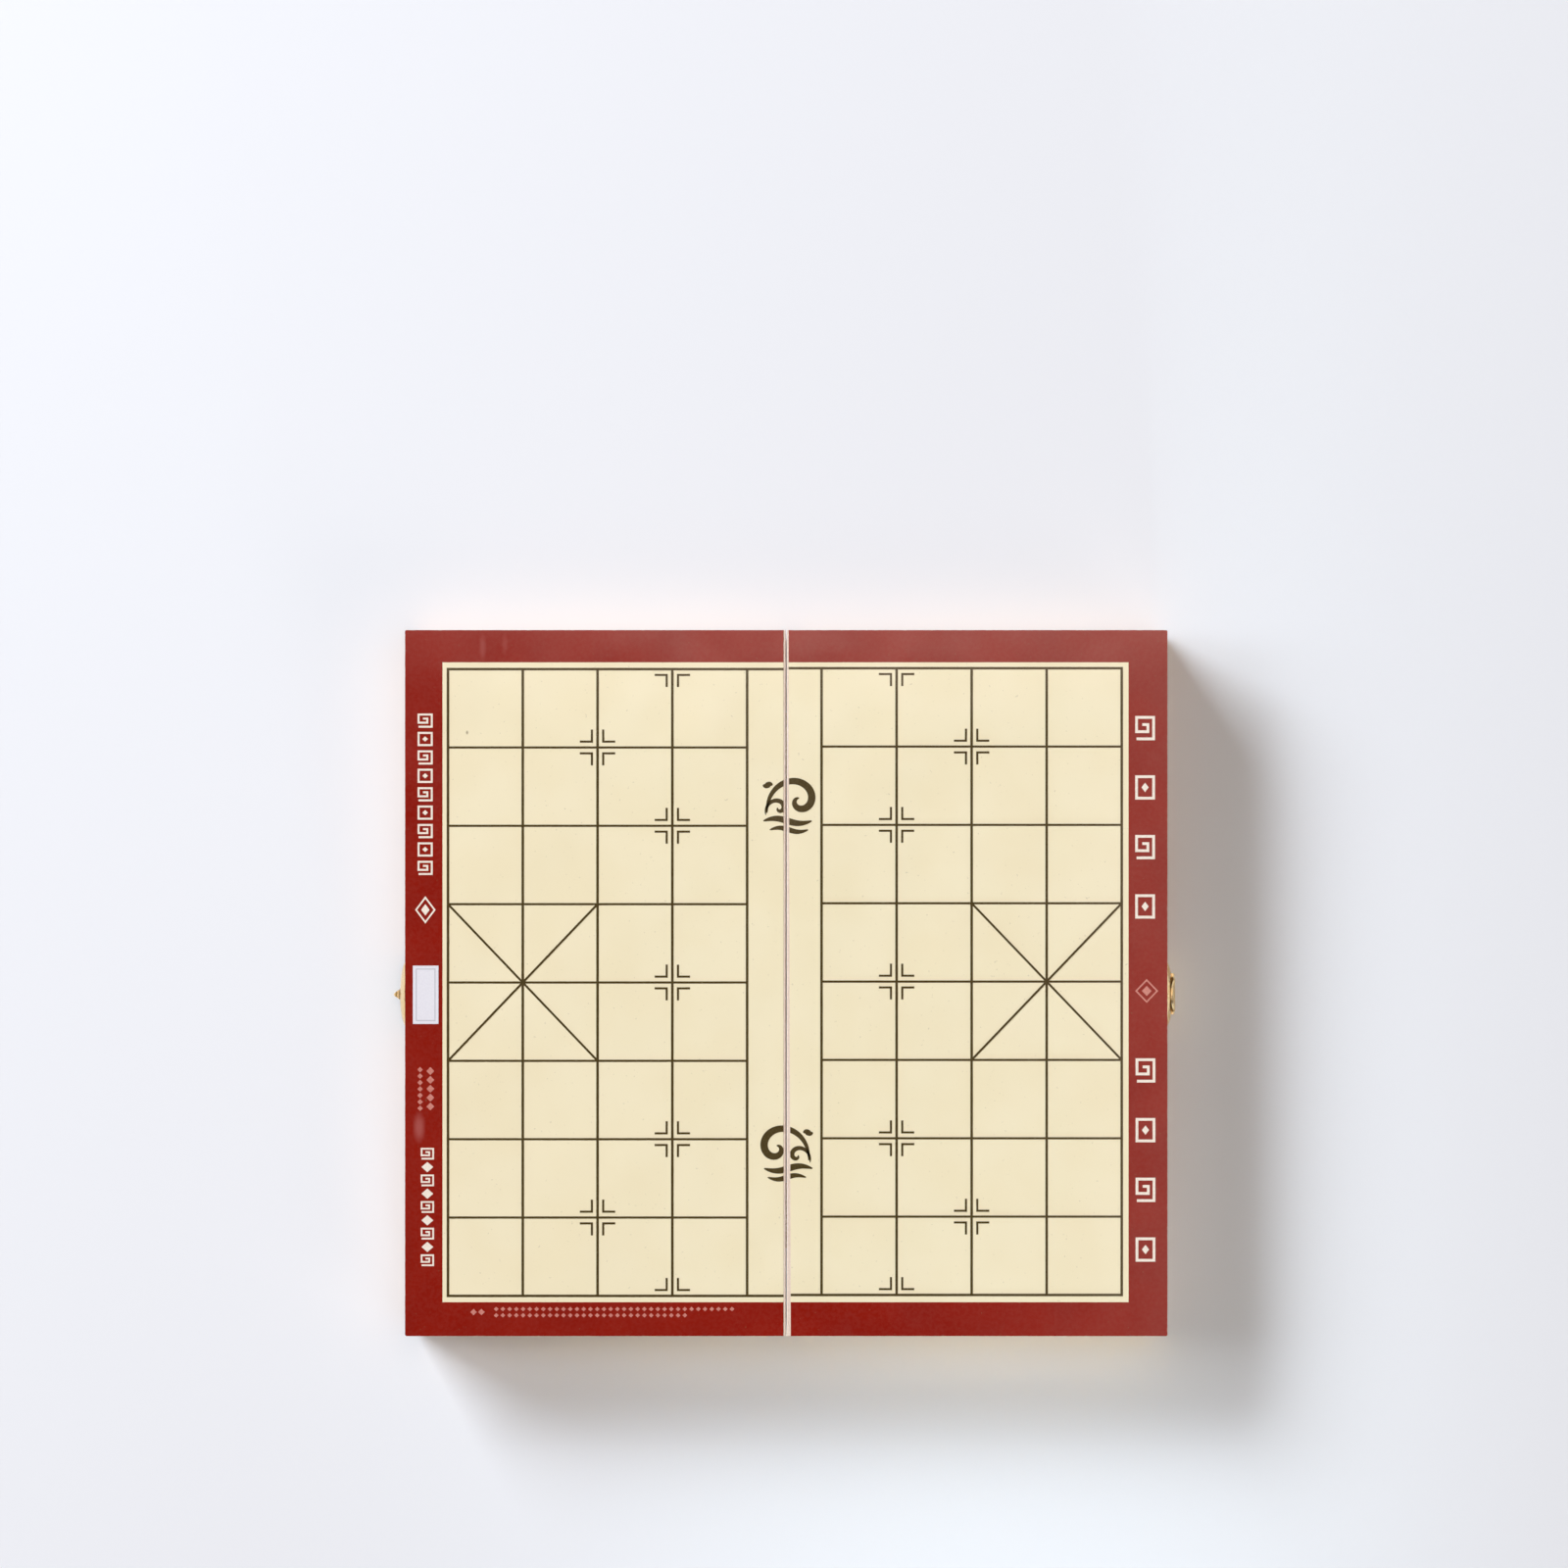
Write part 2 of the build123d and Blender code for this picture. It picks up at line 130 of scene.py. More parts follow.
class Graph:
    """A node tree being written, with short calls that add nodes and join them."""

    def __init__(self, tree: bpy.types.NodeTree) -> None:
        """Takes the tree to write into.

        Args:
            tree: An empty shader or geometry tree.
        """
        self.tree = tree

    def node(
        self, kind: str, feeds: dict[str | int, object] | None = None, **settings: object
    ) -> Node:
        """Adds one node.

        Args:
            kind: The node's type name.
            feeds: What each named or numbered input takes: another node's socket, or a value.
            **settings: Attributes of the node, set before its inputs are fed.

        Returns:
            The new node.
        """
        made = self.tree.nodes.new(kind)
        for name, value in settings.items():
            setattr(made, name, value)
        for key, value in (feeds or {}).items():
            self.feed(made.inputs[key], value)
        return made

    def feed(self, target: Socket, value: object) -> None:
        """Links a socket into an input, or sets the input's own value.

        Args:
            target: The input.
            value: A socket to link from, or a plain value.
        """
        if isinstance(value, bpy.types.NodeSocket):
            self.tree.links.new(value, target)
        else:
            target.default_value = value

    def math(self, operation: str, *values: object, clamp: bool = False) -> Socket:
        """One Math node.

        Args:
            operation: The node's operation.
            *values: Its inputs, in order.
            clamp: Whether the result is kept within 0 and 1.

        Returns:
            Its result.
        """
        feeds = dict(enumerate(values))
        return self.node("ShaderNodeMath", feeds, operation=operation, use_clamp=clamp).outputs[0]

    def times(self, first: object, second: object) -> Socket:
        """The product of two numbers.

        Args:
            first: A socket or a number.
            second: A socket or a number.

        Returns:
            Their product.
        """
        return self.math("MULTIPLY", first, second)

    def vector(self, operation: str, *values: object) -> Socket:
        """One Vector Math node that gives a vector.

        Args:
            operation: The node's operation.
            *values: Its inputs, in order.

        Returns:
            Its vector.
        """
        feeds = dict(enumerate(values))
        return self.node("ShaderNodeVectorMath", feeds, operation=operation).outputs["Vector"]

    def measure(self, operation: str, *values: object) -> Socket:
        """One Vector Math node that gives a number.

        Args:
            operation: The node's operation.
            *values: Its inputs, in order.

        Returns:
            Its number.
        """
        feeds = dict(enumerate(values))
        return self.node("ShaderNodeVectorMath", feeds, operation=operation).outputs["Value"]

    def split(self, vector: Socket) -> tuple[Socket, Socket, Socket]:
        """The three parts of a vector.

        Args:
            vector: The vector's socket.

        Returns:
            Its X, Y and Z.
        """
        parts = self.node("ShaderNodeSeparateXYZ", {0: vector})
        return (parts.outputs[0], parts.outputs[1], parts.outputs[2])

    def fit(
        self, value: Socket, low: float, high: float, start: float = 0.0, end: float = 1.0
    ) -> Socket:
        """Maps a value smoothly from one range to another and keeps it there.

        Args:
            value: The value's socket.
            low: What turns into start.
            high: What turns into end.
            start: The result's first end.
            end: The result's other end.

        Returns:
            The mapped value.
        """
        feeds = {"Value": value, "From Min": low, "From Max": high, "To Min": start, "To Max": end}
        return self.node("ShaderNodeMapRange", feeds, interpolation_type="SMOOTHSTEP").outputs[0]

    def between(self, share: Socket, start: float, end: float) -> Socket:
        """Eases from one number to another as a share goes from 0 to 1.

        Args:
            share: The share's socket.
            start: The result at a share of 0.
            end: The result at a share of 1.

        Returns:
            The number.
        """
        return self.fit(share, 0.0, 1.0, start, end)

    def blend(self, share: Socket, first: Socket | Colour, second: Socket | Colour) -> Socket:
        """Mixes two colours.

        Args:
            share: How much of the second shows.
            first: The colour at a share of 0.
            second: The colour at a share of 1.

        Returns:
            The mixed colour.
        """
        made = self.node("ShaderNodeMix", data_type="RGBA")
        for index, value in ((MIX_SHARE, share), (MIX_FIRST, first), (MIX_SECOND, second)):
            self.feed(made.inputs[index], (*value, 1.0) if isinstance(value, tuple) else value)
        return made.outputs[MIX_COLOUR]

    def noise(
        self, vector: Socket, scale: Socket | float, detail: float = 2.0, rough: float = 0.5
    ) -> Socket:
        """A noise pattern's value.

        Args:
            vector: Where it is read.
            scale: Its repeats in a metre.
            detail: Its octaves.
            rough: How much the finer octaves count.

        Returns:
            The value, about 0.5 on average.
        """
        feeds = {"Vector": vector, "Scale": scale, "Detail": detail, "Roughness": rough}
        return self.node("ShaderNodeTexNoise", feeds).outputs[0]

    def group(self, tree: bpy.types.NodeTree, feeds: dict[str, object]) -> Node:
        """Places a shader group.

        Args:
            tree: The group's tree.
            feeds: What its inputs take.

        Returns:
            The group's node.
        """
        made = self.tree.nodes.new("ShaderNodeGroup")
        made.node_tree = tree
        for name, value in feeds.items():
            self.feed(made.inputs[name], value)
        return made


def new_group(
    name: str, takes: dict[str, float | Triple], gives: Sequence[str]
) -> tuple[Graph, Node, Node]:
    """Starts a shader group with named inputs and outputs.

    Args:
        name: The group's name.
        takes: Each input's name and default: a number, or three numbers for a vector.
        gives: The names of its outputs, which are all values.

    Returns:
        The graph to write in, its input node and its output node.
    """
    tree = bpy.data.node_groups.new(name, "ShaderNodeTree")
    for socket_name, default in takes.items():
        kind = "NodeSocketVector" if isinstance(default, tuple) else "NodeSocketFloat"
        socket = tree.interface.new_socket(name=socket_name, in_out="INPUT", socket_type=kind)
        socket.default_value = default
    for socket_name in gives:
        tree.interface.new_socket(name=socket_name, in_out="OUTPUT", socket_type="NodeSocketFloat")
    graph = Graph(tree)
    return graph, graph.node("NodeGroupInput"), graph.node("NodeGroupOutput")


@functools.cache
def fibre_group() -> bpy.types.NodeTree:
    """Short matted fibres, as in paper, fibreboard and the pores of wood.

    Returns:
        A group that takes Vector, Scale and Stretch, and gives Fibres and Clouds from 0 to 1.
    """
    cloud_share = 0.06
    fibre_span, cloud_span = (0.32, 0.68), (0.3, 0.7)
    takes = {"Vector": ORIGIN, "Scale": 900.0, "Stretch": EVEN}
    graph, start, end = new_group("fibres", takes, ("Fibres", "Clouds"))
    place = graph.vector("MULTIPLY", start.outputs["Vector"], start.outputs["Stretch"])
    fine = graph.noise(place, start.outputs["Scale"], detail=3.0, rough=0.65)
    clouds = graph.noise(place, graph.times(start.outputs["Scale"], cloud_share))
    graph.feed(end.inputs["Fibres"], graph.fit(fine, *fibre_span))
    graph.feed(end.inputs["Clouds"], graph.fit(clouds, *cloud_span))
    return graph.tree


@functools.cache
def grain_group() -> bpy.types.NodeTree:
    """Plain-sawn grain that runs along X, with broad rings and fine pores.

    Returns:
        A group that takes Vector, Rings and Warp, and gives Figure, Pores and Relief from 0 to 1.
    """
    sway_repeats, streak_repeats, pore_repeats = (5.0, 34.0), (14.0, 420.0), (90.0, 2600.0)
    ring_tilt, ring_sway, ring_share = 0.8, 9.0, 0.55
    ring_span, pore_span = (-0.9, 1.0), (0.56, 0.72)
    pore_depth = 0.6
    takes = {"Vector": ORIGIN, "Rings": 260.0, "Warp": 1.0}
    graph, start, end = new_group("wood_grain", takes, ("Figure", "Pores", "Relief"))
    vector = start.outputs["Vector"]

    def drawn_out(repeats: Span, detail: float, rough: float = 0.5) -> Socket:
        """Noise drawn out along the grain, by its repeats in a metre along it and across it."""
        drawn = graph.vector("MULTIPLY", vector, (repeats[0], repeats[1], repeats[1]))
        return graph.noise(drawn, 1.0, detail, rough)

    _, across, up = graph.split(vector)
    depth = graph.math("ADD", across, graph.times(up, ring_tilt))
    rings = graph.times(depth, start.outputs["Rings"])
    sway = drawn_out(sway_repeats, detail=3.0, rough=0.55)
    warp = graph.times(sway, graph.times(start.outputs["Warp"], ring_sway))
    wave = graph.math("SINE", graph.times(graph.math("ADD", rings, warp), math.pi))
    streaks = graph.times(drawn_out(streak_repeats, detail=3.0), 1.0 - ring_share)
    figure = graph.math("ADD", graph.times(graph.fit(wave, *ring_span), ring_share), streaks)
    pores = drawn_out(pore_repeats, detail=2.0, rough=0.6)
    graph.feed(end.inputs["Figure"], figure)
    graph.feed(end.inputs["Pores"], graph.fit(pores, *pore_span))
    graph.feed(end.inputs["Relief"], graph.math("SUBTRACT", figure, graph.times(pores, pore_depth)))
    return graph.tree


@functools.cache
def edge_group() -> bpy.types.NodeTree:
    """Rubbing along the edges of a piece that fills a box.

    The distance to the nearest edge is the middle one of the distances to the box's three faces.

    Returns:
        A group that takes Vector, Centre, Half, Reach and Chips, and gives Wear from 0 to 1.
    """
    chip_depth = 2.4
    wear_span = (0.75, 1.05)
    takes = {"Vector": ORIGIN, "Centre": ORIGIN, "Half": EVEN, "Reach": MM, "Chips": 600.0}
    graph, start, end = new_group("edge_wear", takes, ("Wear",))
    given = start.outputs
    offset = graph.vector("ABSOLUTE", graph.vector("SUBTRACT", given["Vector"], given["Centre"]))
    across, along, up = graph.split(graph.vector("SUBTRACT", given["Half"], offset))
    smaller = graph.math("MINIMUM", across, along)
    larger = graph.math("MAXIMUM", across, along)
    middle = graph.math("MAXIMUM", smaller, graph.math("MINIMUM", larger, up))
    near = graph.math("SUBTRACT", 1.0, graph.math("DIVIDE", middle, given["Reach"]))
    chips = graph.noise(given["Vector"], given["Chips"], detail=3.0, rough=0.6)
    ragged = graph.math("ADD", near, graph.times(graph.math("SUBTRACT", chips, 0.5), chip_depth))
    graph.feed(end.inputs["Wear"], graph.fit(ragged, *wear_span))
    return graph.tree


@functools.cache
def film_group() -> bpy.types.NodeTree:
    """The clear film over a print: slow ripples in its gloss, and faint handling haze.

    Returns:
        A group that takes Vector, and gives Ripple, Haze and Dust from 0 to 1.
    """
    slow_repeats, quick_repeats, haze_repeats, dust_repeats = 22.0, 380.0, 45.0, 700.0
    quick_share = 0.012
    haze_span, dust_span = (0.35, 0.7), (0.70, 0.78)
    graph, start, end = new_group("gloss_film", {"Vector": ORIGIN}, ("Ripple", "Haze", "Dust"))
    vector = start.outputs["Vector"]
    slow = graph.noise(vector, slow_repeats, detail=1.0)
    quick = graph.times(graph.noise(vector, quick_repeats), quick_share)
    haze = graph.noise(vector, haze_repeats, detail=4.0, rough=0.6)
    graph.feed(end.inputs["Ripple"], graph.math("ADD", slow, quick))
    graph.feed(end.inputs["Haze"], graph.fit(haze, *haze_span))
    graph.feed(end.inputs["Dust"], graph.fit(graph.noise(vector, dust_repeats), *dust_span))
    return graph.tree


@functools.cache
def metal_group() -> bpy.types.NodeTree:
    """Tarnish clouds, rolling marks and small dents of thin pressed metal.

    Returns:
        A group that takes Vector and Scale, and gives Tarnish, Haze and Relief from 0 to 1.
    """
    mark_fineness, mark_depth, cloud_share = 10.0, 0.3, 0.6
    tarnish_span, haze_span = (0.42, 0.75), (0.3, 0.7)
    takes = {"Vector": ORIGIN, "Scale": 300.0}
    graph, start, end = new_group("metal_surface", takes, ("Tarnish", "Haze", "Relief"))
    vector, scale = start.outputs["Vector"], start.outputs["Scale"]
    clouds = graph.noise(vector, scale, detail=4.0, rough=0.6)
    marks = graph.noise(vector, graph.times(scale, mark_fineness))
    fine_haze = graph.times(marks, 1.0 - cloud_share)
    haze = graph.math("ADD", graph.times(clouds, cloud_share), fine_haze)
    graph.feed(end.inputs["Tarnish"], graph.fit(clouds, *tarnish_span))
    graph.feed(end.inputs["Haze"], graph.fit(haze, *haze_span))
    graph.feed(end.inputs["Relief"], graph.math("ADD", graph.times(marks, mark_depth), clouds))
    return graph.tree


# ---------------------------------------------------------------------------------------------
# Finishes
# ---------------------------------------------------------------------------------------------


class Finish:
    """A finish that is written as one material's nodes."""

    def write(self, graph: Graph, surface: Node, place: Socket, box: Box) -> None:
        """Writes the finish's nodes.

        Args:
            graph: The material's graph.
            surface: Its Principled shader.
            place: The piece's Object coordinates.
            box: The lowest and highest corner of the piece that wears it.
        """
        raise NotImplementedError

    def make(self, name: str, box: Box) -> bpy.types.Material:
        """Builds the material.

        Args:
            name: The material's name.
            box: The lowest and highest corner of the piece that wears it.

        Returns:
            The material.
        """
        material = bpy.data.materials.new(name)
        material.use_nodes = True
        material.node_tree.nodes.clear()
        graph = Graph(material.node_tree)
        surface = graph.node("ShaderNodeBsdfPrincipled")
        graph.node("ShaderNodeOutputMaterial", {"Surface": surface.outputs["BSDF"]})
        place = graph.node("ShaderNodeTexCoord").outputs["Object"]
        self.write(graph, surface, place, box)
        return material


def bump(graph: Graph, surface: Node, height: Socket, depth: float, strength: float = 1.0) -> None:
    """Feeds a height into a shader's normal.

    Args:
        graph: The material's graph.
        surface: Its Principled shader.
        height: The height from 0 to 1.
        depth: What a height of 1 is, in metres.
        strength: The share of it that shows.
    """
    feeds = {"Height": height, "Distance": depth, "Strength": strength}
    graph.feed(surface.inputs["Normal"], graph.node("ShaderNodeBump", feeds).outputs["Normal"])


def wear_of(graph: Graph, place: Socket, box: Box, reach: float, chips: float) -> Socket:
    """Edge wear for a piece that fills its box.

    Args:
        graph: The material's graph.
        place: The piece's Object coordinates.
        box: Its lowest and highest corner.
        reach: How far in from the edge the wear comes.
        chips: Chips in a metre.

    Returns:
        The wear from 0 to 1.
    """
    low, high = box
    feeds = {
        "Vector": place,
        "Centre": tuple((low + high) / 2),
        "Half": tuple((high - low) / 2),
        "Reach": reach,
        "Chips": chips,
    }
    return graph.group(edge_group(), feeds).outputs["Wear"]


@dataclass(frozen=True)
class GlossFilm:
    """The clear film that covers everything printed."""

    smooth: float = 0.08
    hazy: float = 0.17
    coat: float = 1.0
    coat_roughness: float = 0.06
    ripple_depth: float = 0.55

    def cover(self, graph: Graph, surface: Node, place: Socket) -> Node:
        """Puts the film over a print.

        Args:
            graph: The material's graph.
            surface: Its Principled shader.
            place: The piece's Object coordinates.

        Returns:
            The film group's node.
        """
        film = graph.group(film_group(), {"Vector": place})
        haze = graph.between(film.outputs["Haze"], self.smooth, self.hazy)
        graph.feed(surface.inputs["Roughness"], haze)
        surface.inputs["Coat Weight"].default_value = self.coat
        surface.inputs["Coat Roughness"].default_value = self.coat_roughness
        bump(graph, surface, film.outputs["Ripple"], self.ripple_depth * MM)
        return film


@dataclass(frozen=True)
class Spot:
    """One soft-edged mark at a place on a sheet, in millimetres: a real speck of dirt, or a paler
    smear that is a painted reflection.
    """

    place: Point
    half: Point
    strength: float
    firm: float = 0.15

    def mask(self, graph: Graph, place: Socket) -> Socket:
        """Where the mark is.

        Args:
            graph: The material's graph.
            place: The sheet's Object coordinates.

        Returns:
            The mark's strength at its middle, down to 0 round it.
        """
        middle_x, middle_y = self.place
        half_x, half_y = self.half
        offset = graph.vector("SUBTRACT", place, (middle_x * MM, middle_y * MM, 0.0))
        shares = graph.vector("MULTIPLY", offset, (1.0 / (half_x * MM), 1.0 / (half_y * MM), 0.0))
        return graph.fit(graph.measure("LENGTH", shares), self.firm, 1.0, self.strength, 0.0)


@dataclass(frozen=True)
class PrintedSheet(Finish):
    """The board's sheet: a cream field in a red border, with a gloss film, pale card edges, dust and
    dirt specks, and paler smears on the red that are painted reflections of dents in the film.
    """

    red: Colour = srgb(145, 25, 10)
    deep_red: Colour = srgb(139, 21, 7)
    cream: Colour = srgb(248, 234, 198)
    warm_cream: Colour = srgb(246, 231, 193)
    card: Colour = srgb(238, 226, 206)
    speck: Colour = srgb(120, 104, 78)
    # Painted reflection: a paler pink that stands in for light caught by dents in the gloss film.
    scuff: Colour = srgb(206, 128, 120)
    field_x: Span = (-170.4, 169.7)
    field_y: Span = (-158.2, 159.0)
    ink_edge: float = 0.12
    fibres: float = 520.0
    fibre_share: float = 0.01
    dust_share: float = 0.25
    wear_reach: float = 0.15
    chips: float = 420.0
    facing_side: Span = (0.6, 0.4)
    # Painted reflections: paler smears on the red border where dents in the film would catch the
    # light.
    scuffs: tuple[Spot, ...] = (
        Spot((-182.0, -71.5), (3.8, 9.5), 0.34),
        Spot((-150.5, 166.5), (2.4, 8.5), 0.16),
        Spot((-139.5, 168.0), (2.0, 6.5), 0.11),
    )
    # Real dirt: small dark specks on the sheet.
    dirt: tuple[Spot, ...] = (
        Spot((-158.2, 124.2), (0.9, 1.4), 0.7),
        Spot((-178.5, -58.0), (0.5, 1.2), 0.4),
    )
    film: GlossFilm = GlossFilm()

    def field_mask(self, graph: Graph, place: Socket) -> Socket:
        """The cream field.

        Args:
            graph: The material's graph.
            place: The sheet's Object coordinates.

        Returns:
            1 on the field and 0 on the border.
        """
        across, along, _ = graph.split(place)
        inside = []
        for value, (low, high) in ((across, self.field_x), (along, self.field_y)):
            offset = graph.math("ABSOLUTE", graph.math("SUBTRACT", value, (low + high) / 2 * MM))
            inside.append(graph.math("SUBTRACT", (high - low) / 2 * MM, offset))
        edge = self.ink_edge / 2 * MM
        return graph.fit(graph.math("MINIMUM", *inside), -edge, edge)

    def write(self, graph: Graph, surface: Node, place: Socket, box: Box) -> None:
        """Writes the finish's nodes; see Finish.write."""
        fibres = graph.group(fibre_group(), {"Vector": place, "Scale": self.fibres}).outputs
        red = graph.blend(fibres["Clouds"], self.red, self.deep_red)
        cream = graph.blend(fibres["Clouds"], self.cream, self.warm_cream)
        ink = graph.blend(self.field_mask(graph, place), red, cream)
        ink = graph.blend(graph.times(fibres["Fibres"], self.fibre_share), ink, self.card)
        film = self.film.cover(graph, surface, place)
        ink = graph.blend(graph.times(film.outputs["Dust"], self.dust_share), ink, self.speck)
        # The painted reflections go on first, then the real dirt specks.
        for spots, colour in ((self.scuffs, self.scuff), (self.dirt, self.speck)):
            for spot in spots:
                ink = graph.blend(spot.mask(graph, place), ink, colour)
        wear = wear_of(graph, place, box, self.wear_reach * MM, self.chips)
        _, _, upright = graph.split(graph.node("ShaderNodeTexCoord").outputs["Normal"])
        bare = graph.math("MAXIMUM", wear, graph.fit(upright, *self.facing_side))
        graph.feed(surface.inputs["Base Color"], graph.blend(bare, ink, self.card))


@dataclass(frozen=True)
class PrintedInk(Finish):
    """One printing ink under the same gloss film as the sheet."""

    ink: Colour
    thin: Colour
    fibres: float = 1100.0
    thin_share: float = 0.6
    film: GlossFilm = GlossFilm()

    def write(self, graph: Graph, surface: Node, place: Socket, box: Box) -> None:
        """Writes the finish's nodes; see Finish.write."""
        fibres = graph.group(fibre_group(), {"Vector": place, "Scale": self.fibres})
        share = graph.times(fibres.outputs["Fibres"], self.thin_share)
        graph.feed(surface.inputs["Base Color"], graph.blend(share, self.ink, self.thin))
        self.film.cover(graph, surface, place)


@dataclass(frozen=True)
class Fibreboard(Finish):
    """The raw face and sawn edges of the thin panel under the print."""

    face: Colour = srgb(236, 216, 200)
    dark: Colour = srgb(212, 186, 166)
    rubbed: Colour = srgb(246, 230, 218)
    fibres: float = 1500.0
    stretch: Triple = (1.0, 0.45, 2.4)
    fibre_share: float = 0.5
    cloud_share: float = 0.25
    rubbed_share: float = 0.7
    wear_reach: float = 0.5
    chips: float = 500.0
    roughness: Span = (0.7, 0.86)
    relief_depth: float = 0.06
    relief_share: float = 0.6

    def write(self, graph: Graph, surface: Node, place: Socket, box: Box) -> None:
        """Writes the finish's nodes; see Finish.write."""
        feeds = {"Vector": place, "Scale": self.fibres, "Stretch": self.stretch}
        fibres = graph.group(fibre_group(), feeds).outputs
        colour = graph.blend(graph.times(fibres["Fibres"], self.fibre_share), self.face, self.dark)
        colour = graph.blend(graph.times(fibres["Clouds"], self.cloud_share), colour, self.dark)
        wear = wear_of(graph, place, box, self.wear_reach * MM, self.chips)
        colour = graph.blend(graph.times(wear, self.rubbed_share), colour, self.rubbed)
        graph.feed(surface.inputs["Base Color"], colour)
        graph.feed(surface.inputs["Roughness"], graph.between(fibres["Fibres"], *self.roughness))
        bump(graph, surface, fibres["Fibres"], self.relief_depth * MM, self.relief_share)


@dataclass(frozen=True)
class PaleWood(Finish):
    """Sanded pale softwood, with its grain along the board and darker pores on its sawn ends."""

    grain: Axis
    early: Colour = srgb(182, 140, 94)
    late: Colour = srgb(154, 111, 68)
    pore: Colour = srgb(130, 90, 56)
    rubbed: Colour = srgb(220, 190, 150)
    rings: float = 210.0
    warp: float = 0.8
    pore_share: float = 0.55
    sawn_fibres: float = 2400.0
    sawn_share: float = 0.6
    facing_end: Span = (0.6, 0.85)
    rubbed_share: float = 0.6
    wear_reach: float = 0.8
    chips: float = 350.0
    roughness: Span = (0.49, 0.7)
    relief_depth: float = 0.08
    relief_share: float = 0.5

    def grain_of(self, graph: Graph, place: Socket, box: Box) -> Node:
        """The board's grain, centred on it and run along it.

        Args:
            graph: The material's graph.
            place: The board's Object coordinates.
            box: Its lowest and highest corner.

        Returns:
            The grain group's node.
        """
        turn = 0.0 if self.grain is Axis.X else math.tau / 4
        middle = (box[0] + box[1]) / 2
        feeds = {"Vector": place, "Location": tuple(-middle), "Rotation": (0.0, 0.0, turn)}
        along = graph.node("ShaderNodeMapping", feeds).outputs[0]
        return graph.group(grain_group(), {"Vector": along, "Rings": self.rings, "Warp": self.warp})

    def write(self, graph: Graph, surface: Node, place: Socket, box: Box) -> None:
        """Writes the finish's nodes; see Finish.write."""
        grain = self.grain_of(graph, place, box).outputs
        colour = graph.blend(grain["Figure"], self.early, self.late)
        colour = graph.blend(graph.times(grain["Pores"], self.pore_share), colour, self.pore)
        normal = graph.split(graph.node("ShaderNodeTexCoord").outputs["Normal"])[self.grain.value]
        end = graph.fit(graph.math("ABSOLUTE", normal), *self.facing_end)
        ends = graph.group(fibre_group(), {"Vector": place, "Scale": self.sawn_fibres})
        sawn = graph.blend(ends.outputs["Fibres"], self.late, self.pore)
        colour = graph.blend(graph.times(end, self.sawn_share), colour, sawn)
        wear = wear_of(graph, place, box, self.wear_reach * MM, self.chips)
        colour = graph.blend(graph.times(wear, self.rubbed_share), colour, self.rubbed)
        graph.feed(surface.inputs["Base Color"], colour)
        graph.feed(surface.inputs["Roughness"], graph.between(grain["Pores"], *self.roughness))
        bump(graph, surface, grain["Relief"], self.relief_depth * MM, self.relief_share)


@dataclass(frozen=True)
class ThinMetal(Finish):
    """A bright metal with clouds of tarnish and fine marks from rolling and pressing."""

    bright: Colour
    tarnish: Colour
    smooth: float = 0.22
    hazy: float = 0.38
    relief_depth: float = 0.03
    relief_share: float = 0.5
    clouds: float = 260.0
    wear_reach: float = 0.35
    chips: float = 900.0
    wiped_share: float = 0.6

    def write(self, graph: Graph, surface: Node, place: Socket, box: Box) -> None:
        """Writes the finish's nodes; see Finish.write."""
        metal = graph.group(metal_group(), {"Vector": place, "Scale": self.clouds}).outputs
        wear = wear_of(graph, place, box, self.wear_reach * MM, self.chips)
        wiped = graph.times(wear, self.wiped_share)
        share = graph.math("SUBTRACT", metal["Tarnish"], wiped, clamp=True)
        graph.feed(surface.inputs["Base Color"], graph.blend(share, self.bright, self.tarnish))
        haze = graph.between(metal["Haze"], self.smooth, self.hazy)
        graph.feed(surface.inputs["Roughness"], haze)
        surface.inputs["Metallic"].default_value = 1.0
        bump(graph, surface, metal["Relief"], self.relief_depth * MM, self.relief_share)


OLIVE_INK = PrintedInk(ink=srgb(72, 58, 30), thin=srgb(92, 77, 46))
PALE_INK = PrintedInk(ink=srgb(250, 238, 221), thin=srgb(238, 216, 200))
FAINT_INK = PrintedInk(ink=srgb(214, 142, 128), thin=srgb(192, 104, 92))
LABEL_WHITE = PrintedInk(ink=srgb(238, 234, 238), thin=srgb(230, 225, 231))
LABEL_GREY = PrintedInk(ink=srgb(196, 192, 198), thin=srgb(208, 204, 210))
HINGE_BRASS = ThinMetal(srgb(230, 194, 120), srgb(196, 152, 84), relief_depth=0.018)
CLASP_GILT = ThinMetal(srgb(252, 226, 176), srgb(244, 212, 152), smooth=0.24, relief_depth=0.012)
SCREW_STEEL = ThinMetal(srgb(206, 208, 212), srgb(140, 140, 144), hazy=0.4)


def dress(name: str, finish: Finish) -> None:
    """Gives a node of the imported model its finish.

    Args:
        name: The node.
        finish: What it wears.
    """
    node = bpy.data.objects[name]
    material = finish.make(name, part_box(name))
    if not node.material_slots:
        node.data.materials.append(material)
    for slot in node.material_slots:
        slot.material = material
    LOG.info("dressed %s", name)


# ---------------------------------------------------------------------------------------------
# Meshes of thin printed ink
# ---------------------------------------------------------------------------------------------


def add_object(name: str, mesh: bpy.types.Mesh) -> bpy.types.Object:
    """Puts a mesh in the scene as an object at the origin.

    Args:
        name: The object's name.
        mesh: Its mesh.

    Returns:
        The object.
    """
    made = bpy.data.objects.new(name, mesh)
    bpy.context.scene.collection.objects.link(made)
    return made


